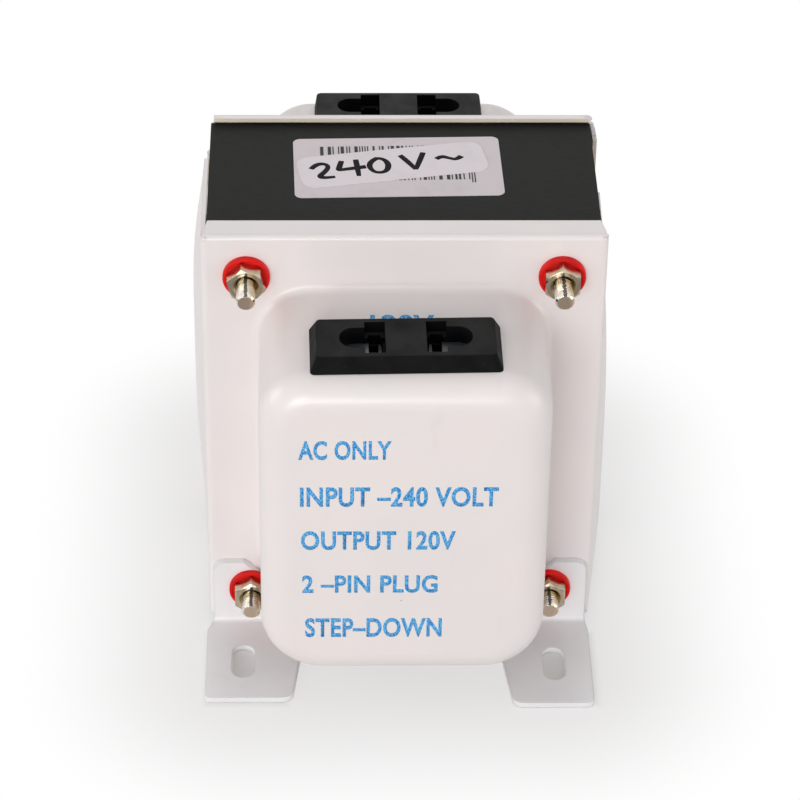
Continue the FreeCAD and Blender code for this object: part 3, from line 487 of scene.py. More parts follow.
@dataclass(frozen=True)
class Moulding(Finish):
    """Moulded plastic, fibre or rubber: grained, slightly blotched, with dust in the grain."""

    colour: Colour
    second: Colour
    roughness: float = 0.45
    grain: float = 0.35 * MM
    depth: float = 0.01 * MM
    rounding: float = 0.12 * MM
    dust: Colour = srgb(150, 148, 144)
    dusty: float = 0.06
    settled: float = 0.0
    shine: float = 0.5

    def dress(self, s: Shader) -> Material:
        """Feed a new material.

        Args:
            s: Its nodes.

        Returns:
            The material.
        """
        blotch = s.ease(s.noise(4 * MM, 3.0), 0.35, 0.7)
        body = s.blend(blotch, self.colour, self.second)
        lint = s.ease(s.noise(0.5 * MM, 3.0), 0.62, 0.8) * self.dusty
        lint = lint + s.ease(s.facing(2), 0.6, 0.97) * s.noise(6 * MM, 4.0) * self.settled
        grain = s.noise(self.grain, 2.0)
        return s.dress(
            base_color=s.blend(lint, body, self.dust),
            roughness=self.roughness + 0.12 * blotch + 0.1 * grain,
            specular_ior_level=self.shine,
            normal=s.relief(grain, self.depth, self.rounding),
        )


@dataclass(frozen=True)
class Card(Finish):
    """Pressed black card: a faint fibre grain, soft scuffs, and painted shade at its front and back ends,
    where it runs under the covers' flanges.
    """

    colour: Colour = srgb(29, 30, 28)
    scuff: Colour = srgb(42, 43, 41)
    # The colour of the painted shade at the card's ends, under the flanges
    edge: Colour = srgb(20, 21, 22)
    half_depth: float = CORE_DEPTH / 2 - CARD_INSET
    flange_shade: float = 0.5 * MM

    def dress(self, s: Shader) -> Material:
        """Feed a new material.

        Args:
            s: Its nodes.

        Returns:
            The material.
        """
        fibre = s.noise(0.4 * MM, 3.0, (6, 1, 1), 0.6)
        scuff = s.ease(s.noise(9 * MM, 5.0, (2, 1, 1)), 0.5, 0.8) * 0.45
        worn = s.blend(scuff + 0.12 * fibre, self.colour, self.scuff)
        # Darker in the last half millimetre of each end, which lies under a flange: painted shade
        flange_shade = s.ease(abs(s.y), self.half_depth - self.flange_shade, self.half_depth)
        return s.dress(
            base_color=s.blend(flange_shade * 0.8, worn, self.edge),
            roughness=0.5 + 0.2 * fibre + 0.1 * scuff,
            specular_ior_level=0.1,
            normal=s.relief(fibre, 0.012 * MM, 0.1 * MM),
        )


@dataclass(frozen=True)
class Paper(Finish):
    """Coated paper: faintly fibrous, a little soiled."""

    colour: Colour
    soil: Colour
    roughness: float = 0.5

    def dress(self, s: Shader) -> Material:
        """Feed a new material.

        Args:
            s: Its nodes.

        Returns:
            The material.
        """
        soil = s.ease(s.noise(6 * MM, 4.0), 0.45, 0.75) * 0.5
        fibre = s.noise(0.5 * MM, 3.0, (2, 1, 1))
        return s.dress(
            base_color=s.blend(soil, self.colour, self.soil),
            roughness=self.roughness + 0.15 * fibre,
            normal=s.relief(fibre, 0.006 * MM),
        )


@dataclass(frozen=True)
class Ink(Finish):
    """Screen-printed or written ink that lets a little of the ground through."""

    colour: Colour
    thin: Colour
    speckle: float = 0.25 * MM
    cover: float = 0.55
    shine: float = 0.2

    def dress(self, s: Shader) -> Material:
        """Feed a new material.

        Args:
            s: Its nodes.

        Returns:
            The material.
        """
        gaps = s.ease(s.noise(self.speckle, 3.0), self.cover, self.cover + 0.12)
        tone = s.ease(s.noise(2.2 * MM, 2.0), 0.3, 0.7) * 0.35
        return s.dress(
            base_color=s.blend(gaps.most(tone), self.colour, self.thin),
            roughness=0.5 + 0.2 * gaps,
            specular_ior_level=self.shine,
            normal=s.relief(gaps, 0.003 * MM),
        )


@dataclass(frozen=True)
class SheetSteel(Finish):
    """The cut edges of the core's sheets: each a little lighter or darker, varnished, with rust specks."""

    colour: Colour = srgb(116, 114, 112)
    dark: Colour = srgb(58, 55, 53)
    rust: Colour = srgb(122, 72, 42)
    pitch: float = 0.5 * MM

    def dress(self, s: Shader) -> Material:
        """Feed a new material.

        Args:
            s: Its nodes.

        Returns:
            The material.
        """
        sheet = s.steps(s.y / self.pitch + 0.5)
        varnish = s.ease(s.noise(11 * MM, 4.0, (1, 3, 1)), 0.4, 0.7)
        steel = s.blend(sheet * 0.55 + varnish * 0.3, self.colour, self.dark)
        rust = s.ease(s.noise(1.6 * MM, 5.0, (1, 2, 1)), 0.6, 0.74) * 0.8
        burr = s.noise(0.3 * MM, 2.0, (1, 0.4, 3))
        return s.dress(
            base_color=s.blend(rust, steel, self.rust),
            metallic=0.75 - 0.7 * rust,
            roughness=0.4 + 0.25 * varnish + 0.2 * rust,
            normal=s.relief(burr, 0.02 * MM),
        )


@dataclass(frozen=True)
class Winding(Finish):
    """Rows of enamelled wire round the coil, with painted shade in the grooves between turns and darker
    patches.
    """

    colour: Colour = srgb(176, 84, 38)
    # Dark brown for the painted shade in the grooves between turns, and for the darker patches
    groove_shade_and_patch: Colour = srgb(70, 26, 12)
    pitch: float = 0.8 * MM

    def dress(self, s: Shader) -> Material:
        """Feed a new material.

        Args:
            s: Its nodes.

        Returns:
            The material.
        """
        turn = 0.5 + 0.5 * (s.x * (2 * math.pi / self.pitch)).wave()
        drift = s.noise(5 * MM, 3.0)
        # Darker towards the grooves between turns: painted shade
        colour = s.blend(s.ease(turn, 0.0, 0.5), self.groove_shade_and_patch, self.colour)
        return s.dress(
            base_color=s.blend(drift * 0.3, colour, self.groove_shade_and_patch),
            metallic=0.5,
            roughness=0.25 + 0.2 * drift,
            normal=s.relief(turn, 0.25 * MM),
        )


@dataclass(frozen=True)
class Wrapping(Finish):
    """Tape or paper wound round the coil in overlapping bands."""

    colour: Colour
    overlap: Colour
    roughness: float
    band: float = 11 * MM

    def dress(self, s: Shader) -> Material:
        """Feed a new material.

        Args:
            s: Its nodes.

        Returns:
            The material.
        """
        ripple = s.noise(3 * MM, 3.0, (1, 4, 4))
        band = s.steps(s.x / self.band + 0.2 * ripple)
        return s.dress(
            base_color=s.blend(band * 0.8, self.colour, self.overlap),
            roughness=self.roughness + 0.15 * ripple,
            normal=s.relief(band * 0.6 + ripple * 0.4, 0.08 * MM),
        )


FINISHES: dict[str, Finish] = {
    "cover_paint": Enamel(),
    # The feet get a lighter white than the covers, though the real paint is the same: painted light that
    # makes up for the flat soles catching less of the low key lamp
    "foot_paint": Enamel(srgb(238, 236, 237), srgb(231, 230, 232), rounding=0.7 * MM, flange_y=0.0),
    "core_steel": SheetSteel(),
    "black_card": Card(),
    "socket_plastic": Moulding(
        srgb(14, 14, 16), srgb(10, 10, 12), 0.42, dusty=0.03, settled=0.1, shine=0.07,
    ),
    "contact_metal": Metal(srgb(150, 160, 168), srgb(110, 96, 66)),
    "clip_steel": Metal(srgb(168, 168, 166), srgb(100, 92, 84)),
    "nickel": Nickel(),
    "red_fibre": Moulding(
        srgb(226, 10, 4), srgb(204, 5, 4), 0.4, 0.5 * MM, 0.015 * MM, dusty=0.02, shine=0.25,
    ),
    "sleeve_plastic": Moulding(srgb(214, 210, 196), srgb(200, 194, 176), 0.4),
    "bobbin_nylon": Moulding(srgb(222, 216, 196), srgb(208, 200, 178), 0.42),
    "copper_wire": Winding(),
    "insulation_paper": Wrapping(srgb(196, 164, 112), srgb(172, 138, 90), 0.7),
    "coil_tape": Wrapping(srgb(220, 180, 70), srgb(200, 154, 48), 0.25),
    "lead_black": Moulding(srgb(40, 40, 41), srgb(30, 30, 31), 0.4),
    "lead_blue": Moulding(srgb(42, 84, 168), srgb(34, 68, 146), 0.4),
    "cap_plastic": Moulding(srgb(218, 216, 208), srgb(202, 200, 190), 0.35),
    "cutout_case": Metal(srgb(190, 190, 190), srgb(140, 138, 134), 0.25, (10, 1, 1)),
    "grommet_rubber": Moulding(srgb(42, 42, 43), srgb(32, 32, 33), 0.6, 0.4 * MM, 0.02 * MM, dusty=0.12),
    "label_white": Paper(srgb(222, 212, 216), srgb(206, 198, 200)),
    "label_small": Paper(srgb(230, 220, 225), srgb(214, 206, 210), 0.35),
}

BLUE_INK = Ink(srgb(4, 114, 198), srgb(118, 198, 238), 0.35 * MM, 0.46)
BLACK_INK = Ink(srgb(16, 16, 19), srgb(70, 68, 72), 0.3 * MM, 0.66)
MARKER_INK = Ink(srgb(9, 8, 11), srgb(28, 27, 32), 0.6 * MM, 0.72, 0.05)


# Modelling

class Pick(Enum):
    """What an edit-mode selection is made of."""

    POINTS = (True, False, False)
    FACES = (False, False, True)


def everywhere(place: Vector) -> bool:
    """Pass every place."""
    return True


def put_down() -> None:
    """Leave edit mode and deselect everything."""
    if bpy.context.object and bpy.context.object.mode != "OBJECT":
        bpy.ops.object.mode_set(mode="OBJECT")
    for thing in bpy.context.selected_objects:
        thing.select_set(False)


def pick_up(thing: Piece) -> None:
    """Select one object alone and make it the active one.

    Args:
        thing: The object.
    """
    put_down()
    thing.select_set(True)
    bpy.context.view_layer.objects.active = thing


def rename(thing: Piece, name: str) -> Piece:
    """Name a piece and its mesh, and return the piece."""
    thing.name = thing.data.name = name
    return thing


def start(name: str, operator: Callable[..., Any], **settings: Any) -> Piece:
    """Add a primitive.

    Args:
        name: The new piece's name.
        operator: The operator that adds it.
        **settings: The operator's own settings.

    Returns:
        The new object.
    """
    put_down()
    operator(**settings)
    return rename(bpy.context.object, name)


class Editing:
    """Edit mode on one piece, with the parts that pass a test selected."""

    def __init__(self, thing: Piece, kind: Pick, test: Test = everywhere) -> None:
        """Take the piece, what to select, and the test on a part's place.

        Args:
            thing: The piece to edit.
            kind: Points or faces.
            test: Given a point's place or a face's middle, whether it is selected.
        """
        self.thing = thing
        self.kind = kind
        self.test = test

    def __enter__(self) -> None:
        """Select and enter edit mode."""
        pick_up(self.thing)
        mesh = self.thing.data
        for group in (mesh.vertices, mesh.edges, mesh.polygons):
            for part in group:
                part.select = False
        for part in self.parts():
            part.select = True
            for index in getattr(part, "vertices", ()):
                mesh.vertices[index].select = True
        bpy.context.tool_settings.mesh_select_mode = self.kind.value
        bpy.ops.object.mode_set(mode="EDIT")

    def parts(self) -> list[Any]:
        """Find what to select.

        Returns:
            The points or faces that pass the test.
        """
        mesh = self.thing.data
        if self.kind is Pick.POINTS:
            return [point for point in mesh.vertices if self.test(point.co)]
        return [face for face in mesh.polygons if self.test(face.center)]

    def __exit__(self, *error: Any) -> None:
        """Leave edit mode."""
        put_down()


def apply_modifier(thing: Piece, kind: str, **settings: Any) -> None:
    """Add a modifier and apply it at once.

    Args:
        thing: The piece.
        kind: The modifier's type.
        **settings: Its properties.
    """
    pick_up(thing)
    modifier = thing.modifiers.new(kind.title(), kind)
    for name, value in settings.items():
        setattr(modifier, name, value)
    bpy.ops.object.modifier_apply(modifier=modifier.name)


def carve(thing: Piece, operation: str, tool: Piece) -> None:
    """Combine a piece with a tool by a Boolean operation, and remove the tool."""
    apply_modifier(thing, "BOOLEAN", operation=operation, object=tool, solver="EXACT")
    bpy.data.objects.remove(tool)


def settle(thing: Piece) -> None:
    """Put an object's place, turn and size into its mesh."""
    pick_up(thing)
    bpy.ops.object.transform_apply(location=True, rotation=True, scale=True)


def cylinder(name: str, sides: int, radius: float, low: float, high: float) -> Piece:
    """Add an upright cylinder round the Z axis.

    Args:
        name: Its name.
        sides: How many sides it has.
        radius: Its radius at the corners.
        low: The height of its lower end.
        high: The height of its upper end.

    Returns:
        The cylinder.
    """
    piece = start(
        name, bpy.ops.mesh.primitive_cylinder_add,
        vertices=sides, radius=radius, depth=high - low, location=(0, 0, (low + high) / 2),
    )
    settle(piece)
    return piece


def extrude(move: Sequence[float]) -> None:
    """Extrude what is selected in edit mode by a vector."""
    bpy.ops.mesh.extrude_region_move(TRANSFORM_OT_translate={"value": move})


def rotation(degrees: float, axis: str) -> Matrix:
    """A turn by some degrees about the X, Y or Z axis."""
    return Matrix.Rotation(math.radians(degrees), 4, axis)


def join(name: str, things: Sequence[Piece]) -> Piece:
    """Make one piece of several.

    Args:
        name: The joined piece's name.
        things: The pieces to join.

    Returns:
        The joined piece.
    """
    put_down()
    for thing in things:
        thing.select_set(True)
    bpy.context.view_layer.objects.active = things[0]
    bpy.ops.object.join()
    return rename(bpy.context.object, name)


def copy_of(thing: Piece, name: str, place: Matrix) -> Piece:
    """Copy a piece with its own mesh.

    Args:
        thing: The piece to copy.
        name: The copy's name.
        place: Where the copy's mesh goes.

    Returns:
        The copy.
    """
    twin = thing.copy()
    twin.data = thing.data.copy()
    twin.data.transform(place)
    bpy.context.collection.objects.link(twin)
    return rename(twin, name)


def outward(thing: Piece) -> None:
    """Merge doubles and point the faces outwards.

    Args:
        thing: The piece.
    """
    with Editing(thing, Pick.POINTS):
        bpy.ops.mesh.remove_doubles(threshold=NEAR)
        bpy.ops.mesh.normals_make_consistent(inside=False)


def hand_over(thing: Piece, finish: Material, slot: str, *replaced: str) -> None:
    """Give a finished piece its material and its body, and hide the CAD nodes that it stands for.

    Args:
        thing: The piece.
        finish: Its material.
        slot: Not used.
        *replaced: The CAD nodes that the piece stands for.
    """
    thing.data.materials.clear()
    thing.data.materials.append(finish)
    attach(thing, BODY)
    if replaced:
        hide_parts(*replaced)
    log.info("%s: %d faces", thing.name, len(thing.data.polygons))


# Sub-assemblies

@dataclass
class Bolts:
    """The four through bolts: a rolled thread at the front and a hexagonal head at the back."""

    across: float = BOLT_ACROSS
    high: float = CORE_HIGH - BOLT_EDGE
    low: float = CORE_LOW + BOLT_EDGE
    tip: float = -33.6 * MM
    upper_seat: float = 25.0 * MM
    foot_sheet: float = 1.5 * MM
    radius: float = 1.95 * MM
    root: float = 1.9 * MM
    pitch: float = 0.7 * MM
    thread: float = 12.6 * MM
    point: float = 0.35 * MM
    steps: int = 28
    spare_turns: int = 2
    shank_sides: int = 32
    head_sides: int = 48
    smooth_below: float = 32.0
    head_turn: float = 30.0
    head_flats: float = 7.0 * MM
    head_height: float = 2.8 * MM
    head_chamfer: float = 0.35 * MM
    head_ring: float = 0.1 * MM
    dish_inset: float = 0.9 * MM
    dish_slope: float = 0.6 * MM
    dish_depth: float = 0.35 * MM

    def threaded(self) -> Piece:
        """Model the threaded end upright, its tip at the origin and its thread upwards.

        Returns:
            The closed threaded end.
        """
        crest = self.radius
        # Each point of one turn's outline: its radius, and its height as a share of the pitch
        outline = [(crest, 0.3), (crest, 0.45), (self.root, 0.75), (self.root, 1.0)]
        piece = start("thread", bpy.ops.mesh.primitive_plane_add, size=MM)
        with Editing(piece, Pick.POINTS, lambda place: place.x > 0 or place.y > 0):
            bpy.ops.mesh.delete(type="VERT")
        piece.data.vertices[0].co = (self.root, 0, 0)
        with Editing(piece, Pick.POINTS):
            before = Vector((self.root, 0, 0))
            for reach, share in outline:
                after = Vector((reach, 0, share * self.pitch))
                extrude(after - before)
                before = after
        turns = math.ceil(self.thread / self.pitch) + self.spare_turns
        apply_modifier(
            piece, "SCREW", axis="Z", screw_offset=self.pitch, iterations=turns,
            steps=self.steps, render_steps=self.steps, use_merge_vertices=True, merge_threshold=NEAR,
        )
        outward(piece)
        for height, upwards in ((self.pitch + self.point, -1), (self.pitch + self.thread, 1)):
            with Editing(piece, Pick.POINTS):
                bpy.ops.mesh.bisect(
                    plane_co=(0, 0, height), plane_no=(0, 0, upwards),
                    use_fill=True, clear_outer=True, threshold=NEAR / 10,
                )
        outward(piece)
        low = min(point.co.z for point in piece.data.vertices)
        with Editing(piece, Pick.FACES, lambda place: place.z < low + NEAR):
            bpy.ops.mesh.inset(thickness=self.point, depth=self.point)
        piece.data.transform(Matrix.Translation((0, 0, -self.pitch)))
        outward(piece)
        return piece

    def head(self) -> Piece:
        """Model the hexagonal head, its seat at the origin, with a turned-down top and a shallow dimple.

        Returns:
            The closed head.
        """
        corner = self.head_flats / math.sqrt(3)
        rim = self.head_height - self.head_chamfer
        head = cylinder("head", 6, corner, 0, self.head_height)
        turned = cylinder("turned", self.head_sides, corner, 0, self.head_height)
        with Editing(turned, Pick.FACES, lambda place: place.z > rim):
            bpy.ops.mesh.inset(thickness=corner - self.head_flats / 2 + self.head_ring, depth=0)
            bpy.ops.mesh.inset(thickness=self.dish_inset, depth=0)
            bpy.ops.mesh.inset(thickness=self.dish_slope, depth=-self.dish_depth)
        for point in turned.data.vertices:
            if point.co.z > rim and point.co.xy.length > corner - NEAR:
                point.co.z = rim
        carve(head, "INTERSECT", turned)
        outward(head)
        return head

    def bolt(self, name: str, x: float, z: float, seat: float) -> Piece:
        """Put one bolt together.

        Args:
            name: The bolt's name.
            x: Its axis' X.
            z: Its axis' height.
            seat: Where its head's seat is along Y.

        Returns:
            The bolt in its place.
        """
        length = seat - self.tip
        shank = cylinder("shank", self.shank_sides, self.radius, self.thread, length)
        head = self.head()
        head.data.transform(Matrix.Translation((0, 0, length)) @ rotation(self.head_turn, "Z"))
        whole = join(name, [self.threaded(), shank, head])
        whole.rotation_euler = (math.radians(-90), 0, 0)
        whole.location = (x, self.tip, z)
        settle(whole)
        pick_up(whole)
        bpy.ops.object.shade_smooth_by_angle(angle=math.radians(self.smooth_below))
        return whole

    def build(self, plating: Material) -> None:
        """Make the four bolts.

        Args:
            plating: Their material.
        """
        lower_seat = self.upper_seat + self.foot_sheet
        for level, z, seat in (("upper", self.high, self.upper_seat), ("lower", self.low, lower_seat)):
            left = self.bolt(f"bolt_{level}_left", -self.across, z, seat)
            right = copy_of(left, f"bolt_{level}_right", Matrix.Translation((2 * self.across, 0, 0)))
            for bolt in (left, right):
                hand_over(bolt, plating, "nickel", "through_bolts")


@dataclass
class CoreSheets:
    """The core's two stacks of thin sheets, E-shaped and I-shaped, each sheet a hair out of line."""

    left: float = -CORE_HALF
    joint: float = 24.0 * MM
    right: float = CORE_HALF
    low: float = CORE_LOW
    high: float = CORE_HIGH
    yoke: float = 16.0 * MM
    leg: float = 16.0 * MM
    middle: float = 32.0 * MM
    depth: float = CORE_DEPTH
    joint_gap: float = 0.05 * MM
    hole_edge: float = BOLT_EDGE
    hole: float = 2.5 * MM
    hole_sides: int = 12
    drill_reach: float = 2.0 * MM
    steel_share: float = 0.94
    count: int = 90
    slack: float = 0.05 * MM
    seed: int = 7

    def plate(self, name: str, columns: list[float], rows: list[float], cut: Test) -> Piece:
        """Model one sheet at the front of its stack.

        Args:
            name: The stack's name.
            columns: The X of its lines.
            rows: The Z of its lines.
            cut: Whether a field of the grid, given by its middle, is cut away.

        Returns:
            The sheet with its two bolt holes.
        """
        thick = self.depth / self.count * self.steel_share
        sheet = start(
            name, bpy.ops.mesh.primitive_grid_add,
            x_subdivisions=len(columns) - 1, y_subdivisions=len(rows) - 1, size=1.0,
        )
        for point in sheet.data.vertices:
            column = round((point.co.x + 0.5) * (len(columns) - 1))
            row = round((point.co.y + 0.5) * (len(rows) - 1))
            point.co = (columns[column], -self.depth / 2, rows[row])
        with Editing(sheet, Pick.FACES, cut):
            bpy.ops.mesh.delete(type="FACE")
        with Editing(sheet, Pick.FACES):
            extrude((0, thick, 0))
        outward(sheet)
        x = columns[0] + self.hole_edge if columns[0] < 0 else columns[-1] - self.hole_edge
        for z in (self.low + self.hole_edge, self.high - self.hole_edge):
            drill = cylinder("drill", self.hole_sides, self.hole, -self.drill_reach, self.drill_reach)
            drill.data.transform(Matrix.Translation((x, -self.depth / 2, z)) @ rotation(90, "X"))
            carve(sheet, "DIFFERENCE", drill)
        return sheet

    def stack(self, sheet: Piece, inward: float) -> Piece:
        """Repeat a sheet through the stack and let each one slip a little.

        Args:
            sheet: The first sheet.
            inward: The direction along X that goes into the core, 1 or -1.

        Returns:
            The stack.
        """
        per_sheet = len(sheet.data.vertices)
        apply_modifier(
            sheet, "ARRAY", count=self.count, use_relative_offset=False,
            use_constant_offset=True, constant_offset_displace=(0, self.depth / self.count, 0),
        )
        draw = random.Random(self.seed)
        points = sheet.data.vertices
        for number in range(self.count):
            slip = Vector((inward * draw.random(), 0, -draw.random())) * self.slack
            for index in range(number * per_sheet, (number + 1) * per_sheet):
                points[index].co += slip
        return sheet

    def build(self, steel: Material) -> None:
        """Make both stacks.

        Args:
            steel: Their material.
        """
        window = (self.high - self.low - self.middle - 2 * self.leg) / 2
        low_window = (self.low + self.leg, self.low + self.leg + window)
        high_window = (self.high - self.leg - window, self.high - self.leg)
        inner = self.left + self.yoke
        rows = [self.low, *low_window, *high_window, self.high]

        def in_window(place: Vector) -> bool:
            """Whether a place on the sheet lies in one of its two windows."""
            level = any(low < place.z < high for low, high in (low_window, high_window))
            return place.x > inner and level

        columns = [self.left, inner, self.joint - self.joint_gap]
        e_sheet = self.plate("core_e_sheets", columns, rows, in_window)
        hand_over(self.stack(e_sheet, 1), steel, "core_steel", "e_laminations")
        columns = [self.joint, self.right]
        i_sheet = self.plate("core_i_sheets", columns, [self.low, self.high], lambda place: False)
        hand_over(self.stack(i_sheet, -1), steel, "core_steel", "i_laminations")


@dataclass(frozen=True)
class Line:
    """One printed line: its words and the box that they fill, in millimetres."""

    name: str
    words: str
    left: float
    right: float
    low: float
    high: float


@dataclass
class Printing:
    """The blue lines printed on the front: plain technical words on the bulge, one behind the socket."""

    bulge_face: float = -52.8 * MM
    shelf_middle: Point = (0.0, -41.5 * MM, 84.87 * MM)
    shelf_slope: float = 7.5
    thick: float = 0.008 * MM
    weight: float = 0.03
    spacing: float = 1.06
    fineness: int = 6
    weld: float = 0.01 * MM
    lines: tuple[Line, ...] = (
        Line("print_first", "AC ONLY", -21.5, -2.8, 65.9, 70.65),
        Line("print_second", "INPUT –240 VOLT", -21.2, 18.9, 54.0, 59.05),
        Line("print_third", "OUTPUT 120V", -21.05, 10.45, 42.9, 47.8),
        Line("print_fourth", "2 –PIN PLUG", -20.9, 7.0, 31.6, 36.3),
        Line("print_fifth", "STEP–DOWN", -20.3, 8.05, 19.75, 24.9),
    )
    socket_line: Line = Line("print_socket", "120V", -7.0, 5.95, 5.6, 10.4)

    def letter(self, line: Line, place: Matrix) -> Piece:
        """Set one line in thin raised ink.

        Args:
            line: The words and their box.
            place: Where the ink goes: its X to the right, its Y up the lines, its Z out of the surface.

        Returns:
            The line's mesh.
        """
        words = start(line.name, bpy.ops.object.text_add)
        words.data.body = line.words
        words.data.offset = self.weight
        words.data.space_character = self.spacing
        words.data.resolution_u = self.fineness
        pick_up(words)
        bpy.ops.object.convert(target="MESH")
        mesh = words.data
        xs = [point.co.x for point in mesh.vertices]
        ys = [point.co.y for point in mesh.vertices]
        wide = (line.right - line.left) * MM / (max(xs) - min(xs))
        tall = (line.high - line.low) * MM / (max(ys) - min(ys))
        for point in mesh.vertices:
            x = line.left * MM + (point.co.x - min(xs)) * wide
            y = line.low * MM + (point.co.y - min(ys)) * tall
            point.co = (x, y, 0)
        with Editing(words, Pick.FACES):
            bpy.ops.mesh.remove_doubles(threshold=self.weld)
            extrude((0, 0, self.thick))
        words.data.transform(place)
        outward(words)
        return words

    def build(self, ink: Material) -> None:
        """Print all the lines.

        Args:
            ink: The ink's material.
        """
        upright = Matrix.Translation((0, self.bulge_face, 0)) @ rotation(90, "X")
        for line in self.lines:
            hand_over(self.letter(line, upright), ink, "cover_paint")
        sloping = Matrix.Translation(self.shelf_middle) @ rotation(self.shelf_slope, "X")
        hand_over(self.letter(self.socket_line, sloping), ink, "cover_paint")


@dataclass
class LabelMarks:
    """The marks on the two paper labels: plain bars on the large one, marker strokes on the small one."""

    large_top: float = CORE_HIGH + CARD_THICK + LABEL_THICK
    small_top: float = CORE_HIGH + CARD_THICK + 2 * LABEL_THICK
    large_place: Pair = (-0.9, 4.5)
    large_turn: float = 1.4
    bars_left: float = -16.0
    bars_right: float = 16.2
    bars_low: float = -5.2
    bars_high: float = 8.2
    bar_widths: tuple[float, ...] = (0.25, 0.25, 0.45, 0.7)
    bar_gaps: tuple[float, ...] = (0.3, 0.3, 0.5, 0.9)
    guard_reach: float = 1.2
    guard_drop: float = 1.2
    small_place: Pair = (-2.0, 5.3)
    small_turn: float = 10.4
    stroke: float = 0.58
    pressure: float = 0.25
    rhythm: float = 2.1
    thick: float = 0.03 * MM
    seed: int = 11
    # The handwriting, stroke by stroke: a 2, an open 4 and its upright, a 0, both sides of a V, a wave
    strokes: tuple[tuple[Pair, ...], ...] = (
        ((-17.0, 1.2), (-15.6, 3.0), (-13.4, 2.6), (-13.4, 0.6), (-16.8, -2.8), (-12.6, -2.6)),
        ((-10.2, 3.2), (-11.4, 0.1), (-11.4, -0.1), (-11.2, -0.2), (-5.6, 0.1)),
        ((-7.2, 3.2), (-7.4, 0.2), (-7.7, -3.2)),
        ((-2.6, 3.0), (-5.0, 1.6), (-4.6, -2.4), (-1.8, -2.8), (-0.6, 0.4), (-1.8, 3.0), (-3.2, 2.8)),
        ((2.2, 3.2), (3.6, 0.0), (4.4, -2.8)),
        ((7.2, 3.4), (5.8, 0.2), (4.4, -2.8)),
        ((9.4, 0.4), (10.6, 1.4), (12.2, 0.2), (13.6, -0.6), (14.8, 0.6)),
    )

    def bars(self) -> Piece:
        """Model the printed bars, of uneven widths and spacing.

        Returns:
            The bars on the large label.
        """
        draw = random.Random(self.seed)
        things = []
        x = self.bars_left
        while x < self.bars_right:
            width = draw.choice(self.bar_widths)
            guard = x < self.bars_left + self.guard_reach or x > self.bars_right - self.guard_reach
            low = self.bars_low - (self.guard_drop if guard else 0.0)
            bar = start("bar", bpy.ops.mesh.primitive_plane_add, size=1.0)
            bar.scale = (width * MM, (self.bars_high - low) * MM, 1)
            bar.location = ((x + width / 2) * MM, (self.bars_high + low) / 2 * MM, 0)
            settle(bar)
            things.append(bar)
            x += width + draw.choice(self.bar_gaps)
        bars = join("label_bars", things)
        with Editing(bars, Pick.FACES):
            extrude((0, 0, self.thick))
        outward(bars)
        self.lay(bars, self.large_place, self.large_turn, self.large_top)
        return bars

    def lay(self, thing: Piece, place: Pair, turn: float, top: float) -> None:
        """Lay a piece on a label.

        Args:
            thing: The piece, built round the origin.
            place: The label's middle in millimetres.
            turn: The label's turn in degrees.
            top: The height of the label's top face.
        """
        move = Matrix.Translation((place[0] * MM, place[1] * MM, top))
        thing.data.transform(move @ rotation(turn, "Z"))

    def writing(self) -> Piece:
        """Model the marker strokes as flattened rounded lines.

        Returns:
            The strokes on the small label.
        """
        things = []
        for points in self.strokes:
            line = start("stroke", bpy.ops.curve.primitive_nurbs_path_add)
            curve = line.data
            curve.splines.clear()
            spline = curve.splines.new("NURBS")
            spline.points.add(len(points) - 1)
            for index, (x, y) in enumerate(points):
                spline.points[index].co = (x * MM, y * MM, 0, 1)
                spline.points[index].radius = 1.0 + self.pressure * math.sin(self.rhythm * index)
            spline.order_u = 3
            spline.use_endpoint_u = True
            curve.bevel_depth = self.stroke * MM
            curve.bevel_resolution = 2
            curve.resolution_u = 10
            curve.use_fill_caps = True
            pick_up(line)
            bpy.ops.object.convert(target="MESH")
            line.scale = (1, 1, self.thick / (self.stroke * MM))
            settle(line)
            things.append(line)
        writing = join("label_writing", things)
        outward(writing)
        self.lay(writing, self.small_place, self.small_turn, self.small_top)
        return writing

    def build(self, print_ink: Material, marker: Material) -> None:
        """Mark both labels.

        Args:
            print_ink: The bars' material.
            marker: The strokes' material.
        """
        hand_over(self.bars(), print_ink, "label_white")
        hand_over(self.writing(), marker, "label_small")


class CadNodes:
    """The carried-over CAD nodes, which keep their shape and get their finishes."""

    def __init__(self) -> None:
        """Make one material for each slot of the record."""
        self.materials = {slot: finish.make(f"finish_{slot}") for slot, finish in FINISHES.items()}

    def build(self) -> None:
        """Put the finishes on the nodes by their record slots."""
        for row in frame["record"]["subparts"]:
            node = frame["nodes"][row["node"]]
            finish = self.materials[row["material_slot"]]
            for slot in node.material_slots:
                slot.material = finish
            log.info("%s: %s", row["node"], finish.name)


@dataclass(frozen=True)
class Lamp:
    """A soft lamp seen from the part: its direction, distance, size, and the brightness that it gives."""

    name: str
    azimuth: float
    elevation: float
    distance: float
    size: float
    level: float


def direction(azimuth: float, elevation: float) -> Vector:
    """The direction from the part to something round it.

    Args:
        azimuth: Degrees from the front towards the right.
        elevation: Degrees above the floor.

    Returns:
        A vector of length one.
    """
    turn, lift = math.radians(azimuth), math.radians(elevation)
    return Vector((math.sin(turn) * math.cos(lift), -math.cos(turn) * math.cos(lift), math.sin(lift)))


